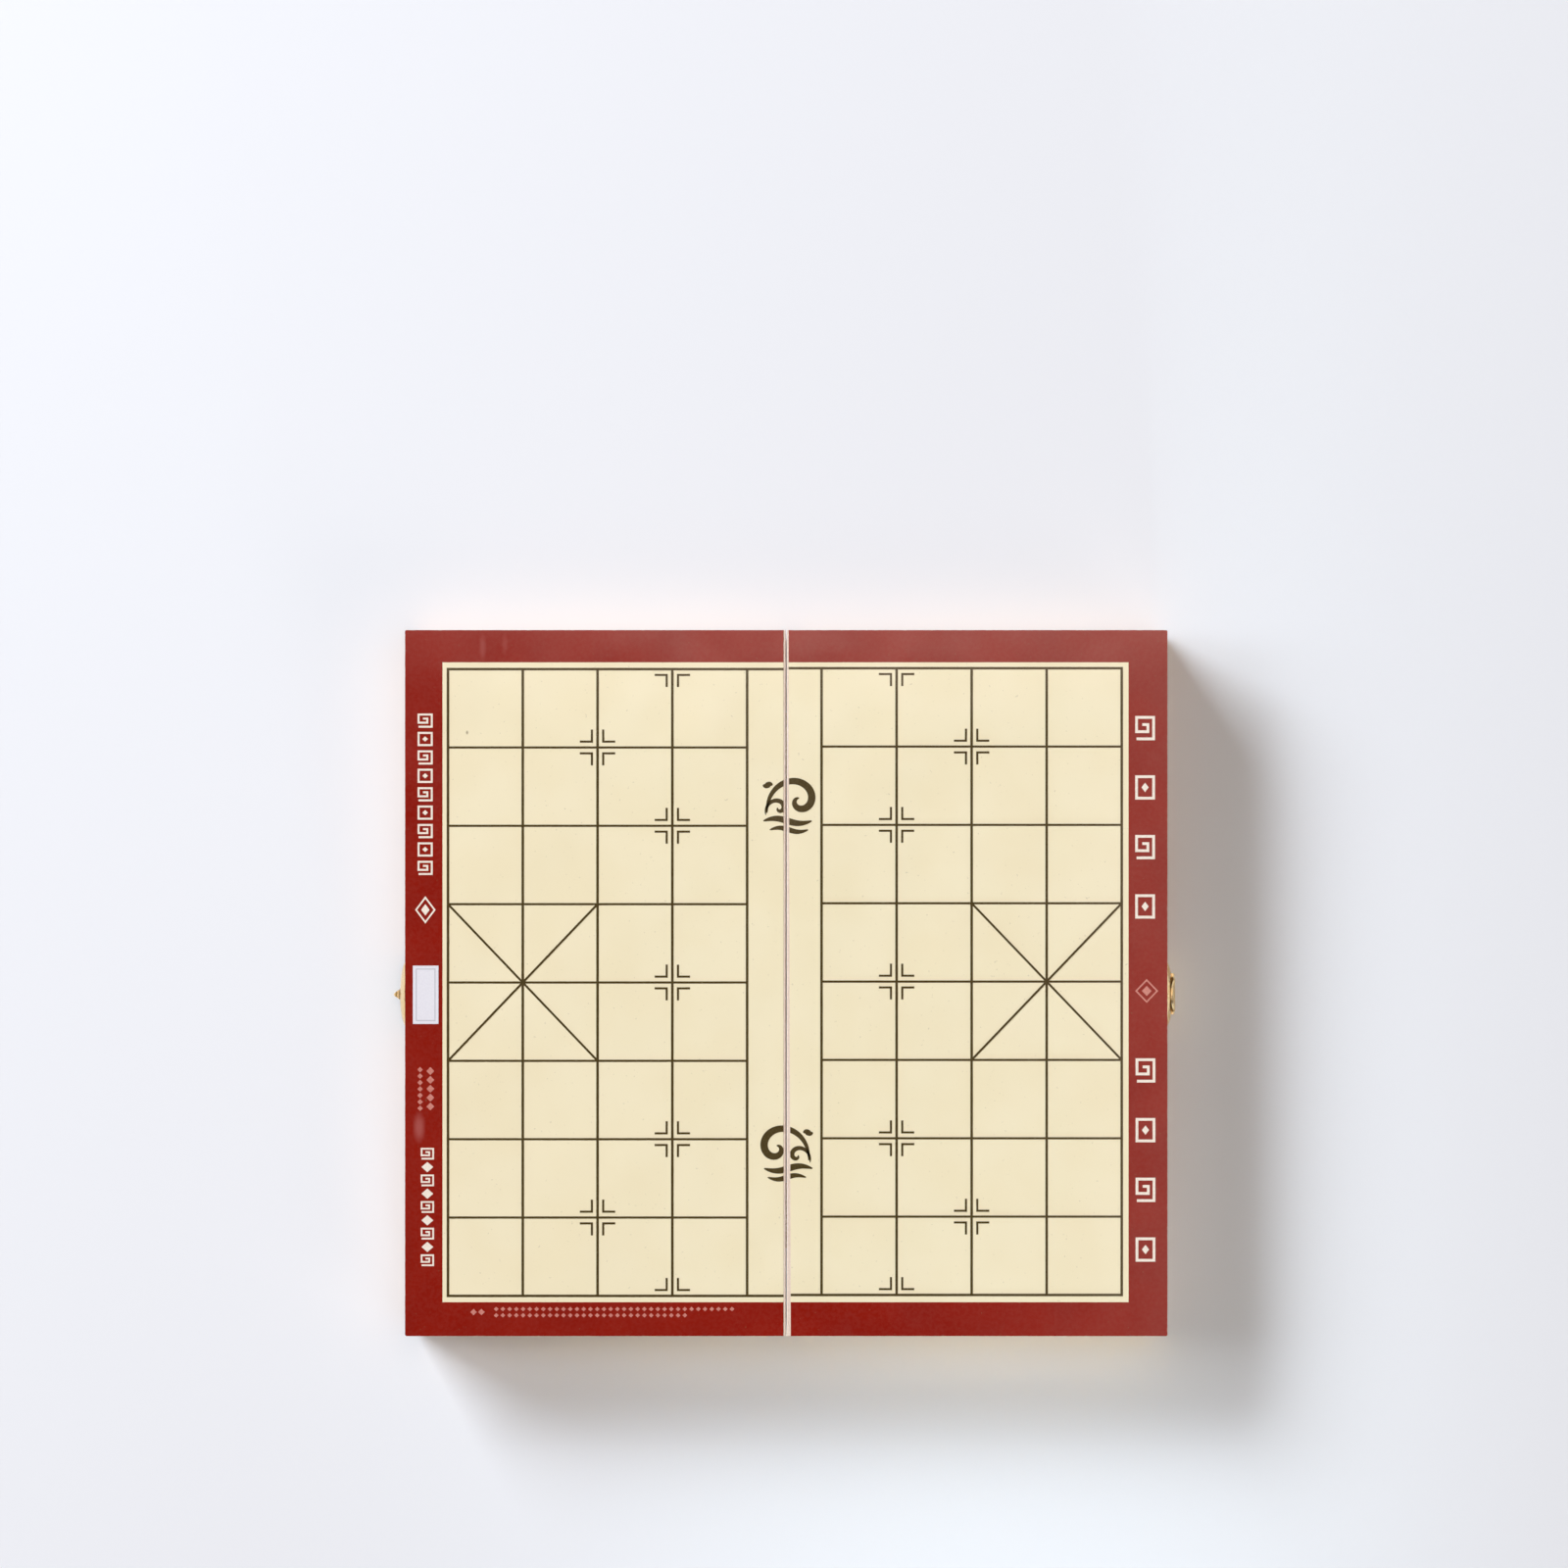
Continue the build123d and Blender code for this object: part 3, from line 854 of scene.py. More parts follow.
class InkSketch:
    """Gathers flat strips of ink and builds them as thin closed solids."""

    def __init__(self, base: float, top: float) -> None:
        """Takes the heights that the ink fills.

        Args:
            base: The ink's underside.
            top: Its upper face.
        """
        self.base = base
        self.top = top
        self.mesh = bmesh.new()

    def strip(self, lefts: Sequence[Point], rights: Sequence[Point], closed: bool = False) -> None:
        """Adds one strip between two edges of as many points.

        Args:
            lefts: The strip's left edge, in metres.
            rights: Its right edge.
            closed: Whether its end joins its start.
        """
        rows = []
        for left, right in zip(lefts, rights):
            tops = ((*left, self.top), (*right, self.top))
            bottoms = ((*right, self.base), (*left, self.base))
            rows.append([self.mesh.verts.new(corner) for corner in (*tops, *bottoms)])
        last = len(rows) if closed else len(rows) - 1
        for index in range(last):
            self.wall(rows[index], rows[(index + 1) % len(rows)])
        if not closed:
            self.mesh.faces.new(list(reversed(rows[0])))
            self.mesh.faces.new(rows[-1])

    def patch(self, outline: Sequence[Point]) -> None:
        """Adds a filled patch.

        Args:
            outline: Its convex outline, in metres.
        """
        tops = [self.mesh.verts.new((*point, self.top)) for point in outline]
        bottoms = [self.mesh.verts.new((*point, self.base)) for point in outline]
        self.mesh.faces.new(tops)
        self.mesh.faces.new(list(reversed(bottoms)))
        self.wall(tops, bottoms)

    def wall(self, here: Sequence[bmesh.types.BMVert], there: Sequence[bmesh.types.BMVert]) -> None:
        """Joins two closed loops of as many points with faces.

        Args:
            here: The first loop.
            there: The second loop.
        """
        for index in range(len(here)):
            following = (index + 1) % len(here)
            corners = (here[index], here[following], there[following], there[index])
            self.mesh.faces.new(corners)

    def stroke(self, path: Sequence[Point], widths: Sequence[float], closed: bool = False) -> None:
        """Adds a strip along a path, with mitred corners.

        Args:
            path: The middle of the strip, in metres.
            widths: Its width at each point.
            closed: Whether its end joins its start.
        """
        count = len(path)
        points = [Vector(point) for point in path]
        lefts, rights = [], []
        for index, point in enumerate(points):
            before = points[index - 1] if closed or index else None
            after = points[(index + 1) % count] if closed or index < count - 1 else None
            runs = (before and point - before, after and after - point)
            normals = [Vector((-run.y, run.x)).normalized() for run in runs if run]
            mitre = sum(normals, Vector((0.0, 0.0)))
            if len(normals) == 2:
                mitre /= 1 + normals[0].dot(normals[1])
            reach = mitre * widths[index] / 2
            lefts.append(tuple(point + reach))
            rights.append(tuple(point - reach))
        self.strip(lefts, rights, closed)

    def cut(self, point: Vector, outward: Vector) -> None:
        """Cuts away what lies past a plane and closes the cut.

        Args:
            point: A point of the plane.
            outward: The direction of what goes.
        """
        geometry = [*self.mesh.verts, *self.mesh.edges, *self.mesh.faces]
        plane = {"plane_co": point, "plane_no": outward}
        bmesh.ops.bisect_plane(self.mesh, geom=geometry, clear_outer=True, **plane)
        open_edges = [edge for edge in self.mesh.edges if edge.is_boundary]
        bmesh.ops.holes_fill(self.mesh, edges=open_edges)

    def take(self, mesh: bpy.types.Mesh) -> None:
        """Adds a finished mesh.

        Args:
            mesh: The mesh to add.
        """
        self.mesh.from_mesh(mesh)

    def finish(self, name: str, material: bpy.types.Material) -> bpy.types.Object:
        """Builds the ink as an object.

        Args:
            name: The object's name.
            material: Its ink.

        Returns:
            The object.
        """
        bmesh.ops.recalc_face_normals(self.mesh, faces=self.mesh.faces)
        mesh = bpy.data.meshes.new(name)
        self.mesh.to_mesh(mesh)
        self.mesh.free()
        mesh.materials.clear()
        mesh.materials.append(material)
        return add_object(name, mesh)


# ---------------------------------------------------------------------------------------------
# Geometry trees for what repeats
# ---------------------------------------------------------------------------------------------


class Recipe:
    """A geometry tree with named inputs, and the call that grows a plain mesh from it."""

    name: str
    takes: dict[str, str]

    def __init__(self) -> None:
        """Builds the tree."""
        tree = bpy.data.node_groups.new(self.name, "GeometryNodeTree")
        geometry = "NodeSocketGeometry"
        for socket_name, kind in {"Geometry": geometry, **self.takes}.items():
            tree.interface.new_socket(name=socket_name, in_out="INPUT", socket_type=kind)
        tree.interface.new_socket(name="Geometry", in_out="OUTPUT", socket_type=geometry)
        self.graph = Graph(tree)
        self.start = self.graph.node("NodeGroupInput")
        shape = self.write()
        real = self.graph.node("GeometryNodeRealizeInstances", {"Geometry": shape})
        feeds = {"Geometry": real.outputs[0], "Material": self.start.outputs["Ink"]}
        inked = self.graph.node("GeometryNodeSetMaterial", feeds)
        self.graph.node("NodeGroupOutput", {0: inked.outputs[0]})

    def write(self) -> Socket:
        """Writes the nodes that make the shape.

        Returns:
            The socket that gives the shape.
        """
        raise NotImplementedError

    def at_points(self, points: Socket, shape: Socket, **feeds: Socket) -> Socket:
        """Puts a shape at every point.

        Args:
            points: The points' socket.
            shape: The shape's socket.
            **feeds: What other inputs of the node take.

        Returns:
            The instances' socket.
        """
        given = {"Points": points, "Instance": shape, **feeds}
        return self.graph.node("GeometryNodeInstanceOnPoints", given).outputs[0]

    def grow(
        self, values: dict[str, object], carrier: bpy.types.Mesh | None = None
    ) -> bpy.types.Mesh:
        """Grows a mesh.

        Args:
            values: What each named input takes.
            carrier: The mesh that the tree starts from, if it needs one.

        Returns:
            A plain mesh.
        """
        host = add_object(self.name, carrier or bpy.data.meshes.new(self.name))
        modifier = host.modifiers.new(self.name, "NODES")
        modifier.node_group = self.graph.tree
        for item in self.graph.tree.interface.items_tree:
            if item.name in values:
                modifier[item.identifier] = values[item.name]
        depsgraph = bpy.context.evaluated_depsgraph_get()
        grown = bpy.data.meshes.new_from_object(host.evaluated_get(depsgraph))
        host.modifiers.clear()
        bpy.data.objects.remove(host)
        return grown


class Row(Recipe):
    """Something repeated at one pitch along a straight row."""

    takes = {
        "Count": "NodeSocketInt",
        "First": "NodeSocketVector",
        "Step": "NodeSocketVector",
        "Ink": "NodeSocketMaterial",
    }

    def points(self) -> Socket:
        """The row's points."""
        given = self.start.outputs
        feeds = {"Count": given["Count"], "Start Location": given["First"], "Offset": given["Step"]}
        return self.graph.node("GeometryNodeMeshLine", feeds).outputs[0]


class Ruling(Row):
    """Equal bars laid side by side at one pitch."""

    name = "ruling"
    takes = {**Row.takes, "Bar": "NodeSocketVector", "Turn": "NodeSocketVector"}

    def write(self) -> Socket:
        """Writes the row of bars; see Recipe.write."""
        given = self.start.outputs
        bar = self.graph.node("GeometryNodeMeshCube", {"Size": given["Bar"]})
        return self.at_points(self.points(), bar.outputs[0], Rotation=given["Turn"])


class MotifRow(Row):
    """One ornament repeated along a row."""

    name = "motif_row"
    takes = {**Row.takes, "Motif": "NodeSocketObject"}

    def write(self) -> Socket:
        """Writes the row of motifs; see Recipe.write."""
        motif = self.graph.node("GeometryNodeObjectInfo", {"Object": self.start.outputs["Motif"]})
        return self.at_points(self.points(), motif.outputs["Geometry"])


class CornerMarks(Recipe):
    """The small right angles round the starting points of cannons and soldiers.

    The carrier mesh has a point at each crossing for each corner, and its attribute quadrant says
    which corner: (1, 1, 0) is the one towards +X and +Y.
    """

    name = "corner_marks"
    takes = {
        "Arm": "NodeSocketFloat",
        "Gap": "NodeSocketVector",
        "Width": "NodeSocketFloat",
        "Depth": "NodeSocketFloat",
        "Ink": "NodeSocketMaterial",
    }

    def write(self) -> Socket:
        """Writes the two arms of each mark, which meet without a lap; see Recipe.write."""
        given = self.start.outputs
        half_arm = self.graph.times(given["Arm"], 0.5)
        short_arm = self.graph.math("SUBTRACT", given["Arm"], given["Width"])
        first_middle = self.graph.times(short_arm, 0.5)
        joined = self.graph.node("GeometryNodeJoinGeometry")
        for size, shift in (
            ((given["Arm"], given["Width"], given["Depth"]), (first_middle, 0.0, 0.0)),
            ((given["Width"], short_arm, given["Depth"]), (0.0, half_arm, 0.0)),
        ):
            arm = self.arm(self.triple(*size), self.triple(*shift))
            self.graph.tree.links.new(arm, joined.inputs[0])
        return joined.outputs[0]

    def arm(self, size: Socket, shift: Socket) -> Socket:
        """One arm of every mark.

        Args:
            size: The arm's size.
            shift: Where its middle lies, outwards from the mark's corner.

        Returns:
            The instances' socket.
        """
        given = self.start.outputs
        quadrant = self.graph.node(
            "GeometryNodeInputNamedAttribute", {"Name": "quadrant"}, data_type="FLOAT_VECTOR"
        )
        outwards = self.graph.vector("ADD", given["Gap"], shift)
        offset = self.graph.vector("MULTIPLY", quadrant.outputs[0], outwards)
        feeds = {"Geometry": given["Geometry"], "Offset": offset}
        moved = self.graph.node("GeometryNodeSetPosition", feeds)
        bar = self.graph.node("GeometryNodeMeshCube", {"Size": size})
        return self.at_points(moved.outputs[0], bar.outputs[0])

    def triple(self, *parts: Socket | float) -> Socket:
        """A vector of three numbers, for X, Y and Z."""
        return self.graph.node("ShaderNodeCombineXYZ", dict(enumerate(parts))).outputs[0]


# ---------------------------------------------------------------------------------------------
# The printed halves
# ---------------------------------------------------------------------------------------------


@dataclass(frozen=True)
class Lines:
    """Where the playing lines of one half lie, in millimetres.

    Ranks run along the seam and files across it. The bank is the rank beside the river.
    """

    outer_rank: float
    bank: float
    middle_file: float
    file_pitch: float = 38.84
    ranks: int = 5
    files: int = 9
    heavy: float = 1.25
    fine: float = 1.1

    @property
    def rank_pitch(self) -> float:
        """The step from the outer rank towards the bank."""
        return (self.bank - self.outer_rank) / (self.ranks - 1)

    def rank(self, index: int) -> float:
        """The X of a rank, counted from the outer one."""
        return self.outer_rank + index * self.rank_pitch

    def file(self, index: int) -> float:
        """The Y of a file, counted from the near one."""
        return self.middle_file + (index - (self.files - 1) / 2) * self.file_pitch


@dataclass(frozen=True)
class Bars:
    """Equal inked bars at one pitch, in millimetres and radians."""

    first: Point
    size: Point
    step: Point = (0.0, 0.0)
    count: int = 1
    turn: float = 0.0
    layer: int = 0


@dataclass
class PrintedHalf:
    """One half's sheet with its lines, marks and ornaments."""

    side: Side
    lines: Lines
    ink_sink: float = 0.02
    ink_rise: float = 0.04
    layer: float = 0.008
    mark_arm: float = 6.5
    mark_gap: Point = (2.8, 2.9)
    mark_width: float = 1.05
    cannon_rank: int = 2
    cannon_files: tuple[int, ...] = (1, 7)
    soldier_rank: int = 3
    soldier_files: tuple[int, ...] = (0, 2, 4, 6, 8)
    palace_ranks: tuple[int, int] = (0, 2)
    palace_files: tuple[int, int] = (3, 5)
    sheet_top: float = field(init=False)
    seam_near: Vector = field(init=False)
    seam_far: Vector = field(init=False)

    def __post_init__(self) -> None:
        """Reads the sheet's height and its trimmed edge from the frame."""
        name = f"{self.side.word}_print"
        self.sheet_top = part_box(name)[1].z
        points = [vertex.co.copy() for vertex in bpy.data.objects[name].data.vertices]
        points.sort(key=lambda point: abs(point.x))
        self.seam_near = next(point for point in points if point.y < 0)
        self.seam_far = next(point for point in points if point.y > 0)

    def height(self, layer: int = 0) -> tuple[float, float]:
        """The underside and top of an ink layer.

        Args:
            layer: How many inks lie under it where it crosses them.

        Returns:
            The two heights in metres.
        """
        rise = self.ink_rise + layer * self.layer
        return (self.sheet_top - self.ink_sink * MM, self.sheet_top + rise * MM)

    def ranks_and_files(self) -> tuple[Bars, ...]:
        """The ranks, the files up to the bank, and the two edge files that run on to the seam."""
        lines = self.lines
        low, high = lines.file(0), lines.file(lines.files - 1)
        run = abs(lines.bank - lines.outer_rank)
        return (
            Bars(
                first=(lines.outer_rank, (low + high) / 2),
                size=(lines.heavy, high - low + lines.heavy),
                step=(lines.rank_pitch, 0.0),
                count=lines.ranks,
                layer=1,
            ),
            Bars(
                first=((lines.outer_rank + lines.bank) / 2, lines.file(1)),
                size=(run, lines.fine),
                step=(0.0, lines.file_pitch),
                count=lines.files - 2,
            ),
            Bars(
                first=(lines.outer_rank / 2, low),
                size=(abs(lines.outer_rank), lines.heavy),
                step=(0.0, high - low),
                count=2,
            ),
        )

    def palace(self) -> tuple[Bars, ...]:
        """The palace's two diagonals."""
        ranks = [self.lines.rank(index) for index in self.palace_ranks]
        files = [self.lines.file(index) for index in self.palace_files]
        across, along = ranks[1] - ranks[0], files[1] - files[0]
        heart = (sum(ranks) / 2, sum(files) / 2)
        size = (math.hypot(across, along), self.lines.fine)
        slope = math.atan2(along, across)
        return (Bars(heart, size, turn=slope, layer=2), Bars(heart, size, turn=-slope, layer=3))

    def rule(self, recipe: Ruling, sketch: InkSketch, ink: bpy.types.Material) -> None:
        """Lays the half's playing lines.

        Args:
            recipe: The tree that makes bars.
            sketch: Where they go.
            ink: Their ink.
        """
        for bars in (*self.ranks_and_files(), *self.palace()):
            base, top = self.height(bars.layer)
            first_x, first_y = bars.first
            size_x, size_y = bars.size
            values = {
                "Count": bars.count,
                "First": Vector((first_x * MM, first_y * MM, (top + base) / 2)),
                "Step": Vector((*bars.step, 0.0)) * MM,
                "Bar": Vector((size_x * MM, size_y * MM, top - base)),
                "Turn": Vector((0.0, 0.0, bars.turn)),
                "Ink": ink,
            }
            sketch.take(recipe.grow(values))

    def mark(self, recipe: CornerMarks, ink: bpy.types.Material) -> bpy.types.Mesh:
        """Lays the half's corner marks.

        Args:
            recipe: The tree that makes marks.
            ink: Their ink.

        Returns:
            The marks as a mesh.
        """
        lines = self.lines
        stations = [(self.cannon_rank, index) for index in self.cannon_files]
        stations += [(self.soldier_rank, index) for index in self.soldier_files]
        base, top = self.height()
        points, quadrants = [], []
        for (rank, index), across, along in itertools.product(stations, (-1, 1), (-1, 1)):
            if 0 <= index + along < lines.files:
                points.append((lines.rank(rank) * MM, lines.file(index) * MM, (base + top) / 2))
                quadrants.extend((across, along, 0.0))
        carrier = bpy.data.meshes.new("mark_points")
        carrier.from_pydata(points, [], [])
        attribute = carrier.attributes.new("quadrant", "FLOAT_VECTOR", "POINT")
        attribute.data.foreach_set("vector", quadrants)
        values = {
            "Arm": self.mark_arm * MM,
            "Gap": Vector((*self.mark_gap, 0.0)) * MM,
            "Width": self.mark_width * MM,
            "Depth": top - base,
            "Ink": ink,
        }
        return recipe.grow(values, carrier)

    def cut_at_seam(self, sketch: InkSketch) -> None:
        """Cuts ink off at the sheet's trimmed edge.

        Args:
            sketch: The ink.
        """
        run = self.seam_far - self.seam_near
        outward = Vector((run.y, -run.x, 0.0)) * -self.side.value
        sketch.cut(self.seam_near, outward)

    def build(self, recipes: "Recipes", ink: bpy.types.Material) -> None:
        """Builds the half's printed lines and rides them on it.

        Args:
            recipes: The geometry trees.
            ink: The lines' ink.
        """
        sketch = InkSketch(*self.height())
        self.rule(recipes.ruling, sketch, ink)
        self.cut_at_seam(sketch)
        sketch.take(self.mark(recipes.marks, ink))
        ride(sketch.finish(f"{self.side.word}_playing_lines", ink), self.side)


def ride(piece: bpy.types.Object, side: Side) -> None:
    """Makes a printed piece move with its half.

    Args:
        piece: The piece.
        side: Its half.
    """
    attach(piece, side.body)
    LOG.info("%s: %d faces", piece.name, len(piece.data.polygons))


@dataclass
class Recipes:
    """The geometry trees, each built once."""

    ruling: Ruling = field(default_factory=Ruling)
    marks: CornerMarks = field(default_factory=CornerMarks)
    motifs: MotifRow = field(default_factory=MotifRow)


class Pattern(Enum):
    """The plain ornaments of the border."""

    FRET = "a square spiral"
    WINDOW = "a frame round a lozenge"
    LOZENGE = "a filled lozenge"
    NEST = "a lozenge in a lozenge"
    PLATE = "a filled rectangle"
    FRAME = "a rectangle's outline"


@dataclass(frozen=True)
class Motif:
    """One ornament, drawn round the origin; its sizes are in millimetres."""

    pattern: Pattern
    width: float
    height: float
    weight: float = 1.0
    inner_turn: float = 0.33
    inner_share: float = 0.5

    def spiral(self) -> tuple[Point, ...]:
        """The square spiral's turns, in a square from -1 to 1."""
        inner = self.inner_turn
        return (*SQUARE, (-1, -inner), (inner, -inner), (inner, inner), (-inner, inner))

    def scaled(self, points: Iterable[Point], share: float = 1.0) -> list[Point]:
        """Fits points of a square from -1 to 1 into the motif.

        Args:
            points: The points.
            share: The share of the motif's size that they fill.

        Returns:
            The points in metres, drawn in by half the stroke so that the motif has its full size.
        """
        half_x = (self.width * share - self.weight) / 2 * MM
        half_y = (self.height * share - self.weight) / 2 * MM
        return [(x * half_x, y * half_y) for x, y in points]

    def draw(self, sketch: InkSketch) -> None:
        """Draws the motif.

        Args:
            sketch: Where it goes.
        """
        width = self.weight * MM
        outlines = {Pattern.WINDOW: SQUARE, Pattern.NEST: LOZENGE, Pattern.FRAME: SQUARE}
        outline = outlines.get(self.pattern)
        if outline:
            sketch.stroke(self.scaled(outline), [width] * len(outline), closed=True)
        if self.pattern is Pattern.FRET:
            turns = self.scaled(self.spiral())
            sketch.stroke(turns, [width] * len(turns))
        elif self.pattern is Pattern.PLATE:
            sketch.patch(self.scaled(SQUARE))
        elif self.pattern is not Pattern.FRAME:
            share = 1.0 if self.pattern is Pattern.LOZENGE else self.inner_share
            sketch.patch(self.scaled(LOZENGE, share))


@dataclass(frozen=True)
class Run:
    """A motif repeated at one pitch; its places are in millimetres."""

    motif: Motif
    ink: str
    first: Point
    step: Point = (0.0, 0.0)
    count: int = 1
    layer: int = 0


@dataclass(frozen=True)
class Border:
    """The ornaments on one half's red border, grouped by their ink."""

    half: PrintedHalf
    runs: tuple[Run, ...]

    def build(self, recipe: MotifRow, inks: dict[str, bpy.types.Material]) -> None:
        """Builds one piece for each ink.

        Args:
            recipe: The tree that repeats a motif.
            inks: The inks by name.
        """
        for word, ink in inks.items():
            sketch = InkSketch(*self.half.height())
            for run in self.runs:
                if run.ink != word:
                    continue
                pen = InkSketch(*self.half.height(run.layer))
                run.motif.draw(pen)
                motif = pen.finish("motif", ink)
                values = {
                    "Motif": motif,
                    "Count": run.count,
                    "First": Vector((*run.first, 0.0)) * MM,
                    "Step": Vector((*run.step, 0.0)) * MM,
                    "Ink": ink,
                }
                sketch.take(recipe.grow(values))
                bpy.data.objects.remove(motif)
            if sketch.mesh.verts:
                ride(sketch.finish(f"{self.half.side.word}_{word}_ornaments", ink), self.half.side)
            else:
                sketch.mesh.free()


@dataclass(frozen=True, kw_only=True)
class Brushstroke:
    """A stroke of the brush that swells between its ends; its sizes are in millimetres."""

    weight: float
    tip: float
    lean: float
    taper: float
    samples: int

    def at(self, share: float) -> Point:
        """A point of the stroke.

        Args:
            share: How far along the stroke it lies, from 0 to 1.

        Returns:
            The point, from the middle of the group that the stroke belongs to.
        """
        raise NotImplementedError

    def draw(self, sketch: InkSketch, centre: Point, flip: float) -> None:
        """Draws the stroke.

        Args:
            sketch: Where it goes.
            centre: The middle of the group that it belongs to.
            flip: 1.0, or -1.0 to turn it the other way round.
        """
        path, widths = [], []
        for sample in range(self.samples + 1):
            share = sample / self.samples
            x, y = self.at(share)
            path.append(((centre[0] + flip * x) * MM, (centre[1] + y) * MM))
            swell = math.sin(math.pi * share**self.lean) ** self.taper
            widths.append(self.weight * MM * (self.tip + (1.0 - self.tip) * swell))
        sketch.stroke(path, widths)


@dataclass(frozen=True, kw_only=True)
class Roller(Brushstroke):
    """A wave that sweeps in from a long tail and curls over; its bearing is in degrees."""

    eye: Point
    reach: float
    bearing: float
    turns: float
    tightness: float = 0.085
    tip: float = 0.12
    lean: float = 0.75
    taper: float = 0.8
    samples: int = 72

    def at(self, share: float) -> Point:
        """A point of the wave; see Brushstroke.at."""
        angle = math.radians(self.bearing) - math.tau * self.turns * share
        radius = self.reach * self.tightness**share
        return (self.eye[0] + radius * math.cos(angle), self.eye[1] + radius * math.sin(angle))


@dataclass(frozen=True, kw_only=True)
class Ripple(Brushstroke):
    """A ripple with pointed ends."""

    start: Point
    length: float
    rise: float
    tip: float = 0.15
    lean: float = 1.0
    taper: float = 0.7
    samples: int = 40

    def at(self, share: float) -> Point:
        """A point of the ripple; see Brushstroke.at."""
        along, up = self.start
        return (along + share * self.length, up + self.rise * math.sin(math.tau * share))


@dataclass(frozen=True)
class RiverWaves:
    """Water between the banks, cut in two by the seam, where such boards carry lettering."""

    centres: tuple[Point, ...] = ((0.45, 87.0), (1.2, -85.3))
    strokes: tuple[Brushstroke, ...] = (
        Roller(eye=(6.0, 3.2), reach=17.0, bearing=200.0, turns=1.3, weight=3.7),
        Roller(eye=(-4.0, -0.4), reach=7.4, bearing=206.0, turns=1.15, weight=2.3),
        Ripple(start=(-12.0, 11.2), length=4.8, rise=-0.4, weight=2.9),
        Ripple(start=(-11.8, -6.6), length=24.0, rise=1.2, weight=3.3),
        Ripple(start=(-8.6, -11.0), length=19.0, rise=1.0, weight=2.6),
    )

    def draw(self, sketch: InkSketch) -> None:
        """Draws both groups of waves, which roll towards each other.

        Args:
            sketch: Where they go.
        """
        for centre, flip in zip(self.centres, (1.0, -1.0)):
            for stroke in self.strokes:
                stroke.draw(sketch, centre, flip)


# ---------------------------------------------------------------------------------------------
# The studio
# ---------------------------------------------------------------------------------------------


DAYLIGHT: Colour = (0.79, 0.864, 0.957)
WARM_BOUNCE: Colour = (1.0, 0.88, 0.8)
COOL_BOUNCE: Colour = (0.64, 0.89, 1.0)


@dataclass(frozen=True)
class Softbox:
    """A soft lamp aimed at the board; its power is in watts and its spread in degrees."""

    name: str
    place: Triple
    size: Point
    power: float
    colour: Colour
    aim: Triple = ORIGIN
    spread: float = 180.0

    def build(self) -> None:
        """Adds the lamp."""
        lamp = bpy.data.lights.new(self.name, "AREA")
        lamp.shape = "RECTANGLE"
        lamp.size, lamp.size_y = self.size
        lamp.energy = self.power
        lamp.color = self.colour
        lamp.spread = math.radians(self.spread)
        stand = bpy.data.objects.new(self.name, lamp)
        stand.location = self.place
        run = Vector(self.aim) - Vector(self.place)
        stand.rotation_euler = run.to_track_quat("-Z", "Y").to_euler()
        stand.visible_camera = False
        stand.visible_glossy = False
        bpy.context.scene.collection.objects.link(stand)


@dataclass(frozen=True)
class Sky:
    """The light from above: a broad bright ceiling that fades round a dark quarter over the camera.

    Places on the sky are given as the X and Y of a direction, so the point overhead is (0, 0).
    """

    ceiling: float = 1.5
    walls: float = 0.07
    centre: Point = (0.2, 0.1)
    reach: Span = (0.34, 0.62)
    right_band: Span = (0.03, 0.21)
    far_band: Span = (0.01, 0.052)
    far_fade: Span = (-0.16, 0.0)
    horizon: Span = (0.0, 0.1)
    tint: Colour = (1.0, 0.85, 0.74)
    backdrop: Colour = srgb(240, 241, 243)
    backdrop_below: Span = (0.5, 0.8)

    def build(self) -> None:
        """Sets the world: light from above, and a pale horizon to the camera and in reflections."""
        world = bpy.data.worlds.new("sky")
        bpy.context.scene.world = world
        world.use_nodes = True
        world.node_tree.nodes.clear()
        graph = Graph(world.node_tree)
        direction = graph.node("ShaderNodeTexCoord").outputs["Generated"]
        across, along, up = graph.split(direction)
        flat = graph.vector("MULTIPLY", direction, (1.0, 1.0, 0.0))
        spread = graph.measure("DISTANCE", flat, (*self.centre, 0.0))
        lit = graph.fit(spread, *self.reach, self.ceiling, self.walls)
        far = graph.times(graph.fit(along, *self.far_band), graph.fit(across, *self.far_fade))
        clear = graph.math("MAXIMUM", graph.fit(across, *self.right_band), far)
        lit = graph.times(graph.times(lit, clear), graph.fit(up, *self.horizon))
        glow = graph.vector("SCALE", self.tint)
        graph.feed(glow.node.inputs["Scale"], graph.math("ADD", lit, self.walls / 2))
        pale = graph.blend(graph.fit(up, *self.backdrop_below), self.backdrop, glow)
        rays = graph.node("ShaderNodeLightPath").outputs
        seen = graph.math("MAXIMUM", rays["Is Camera Ray"], rays["Is Glossy Ray"])
        seen = graph.math("MAXIMUM", seen, rays["Is Transmission Ray"])
        shown = graph.node("ShaderNodeBackground", {"Color": graph.blend(seen, glow, pale)})
        graph.node("ShaderNodeOutputWorld", {"Surface": shown.outputs[0]})


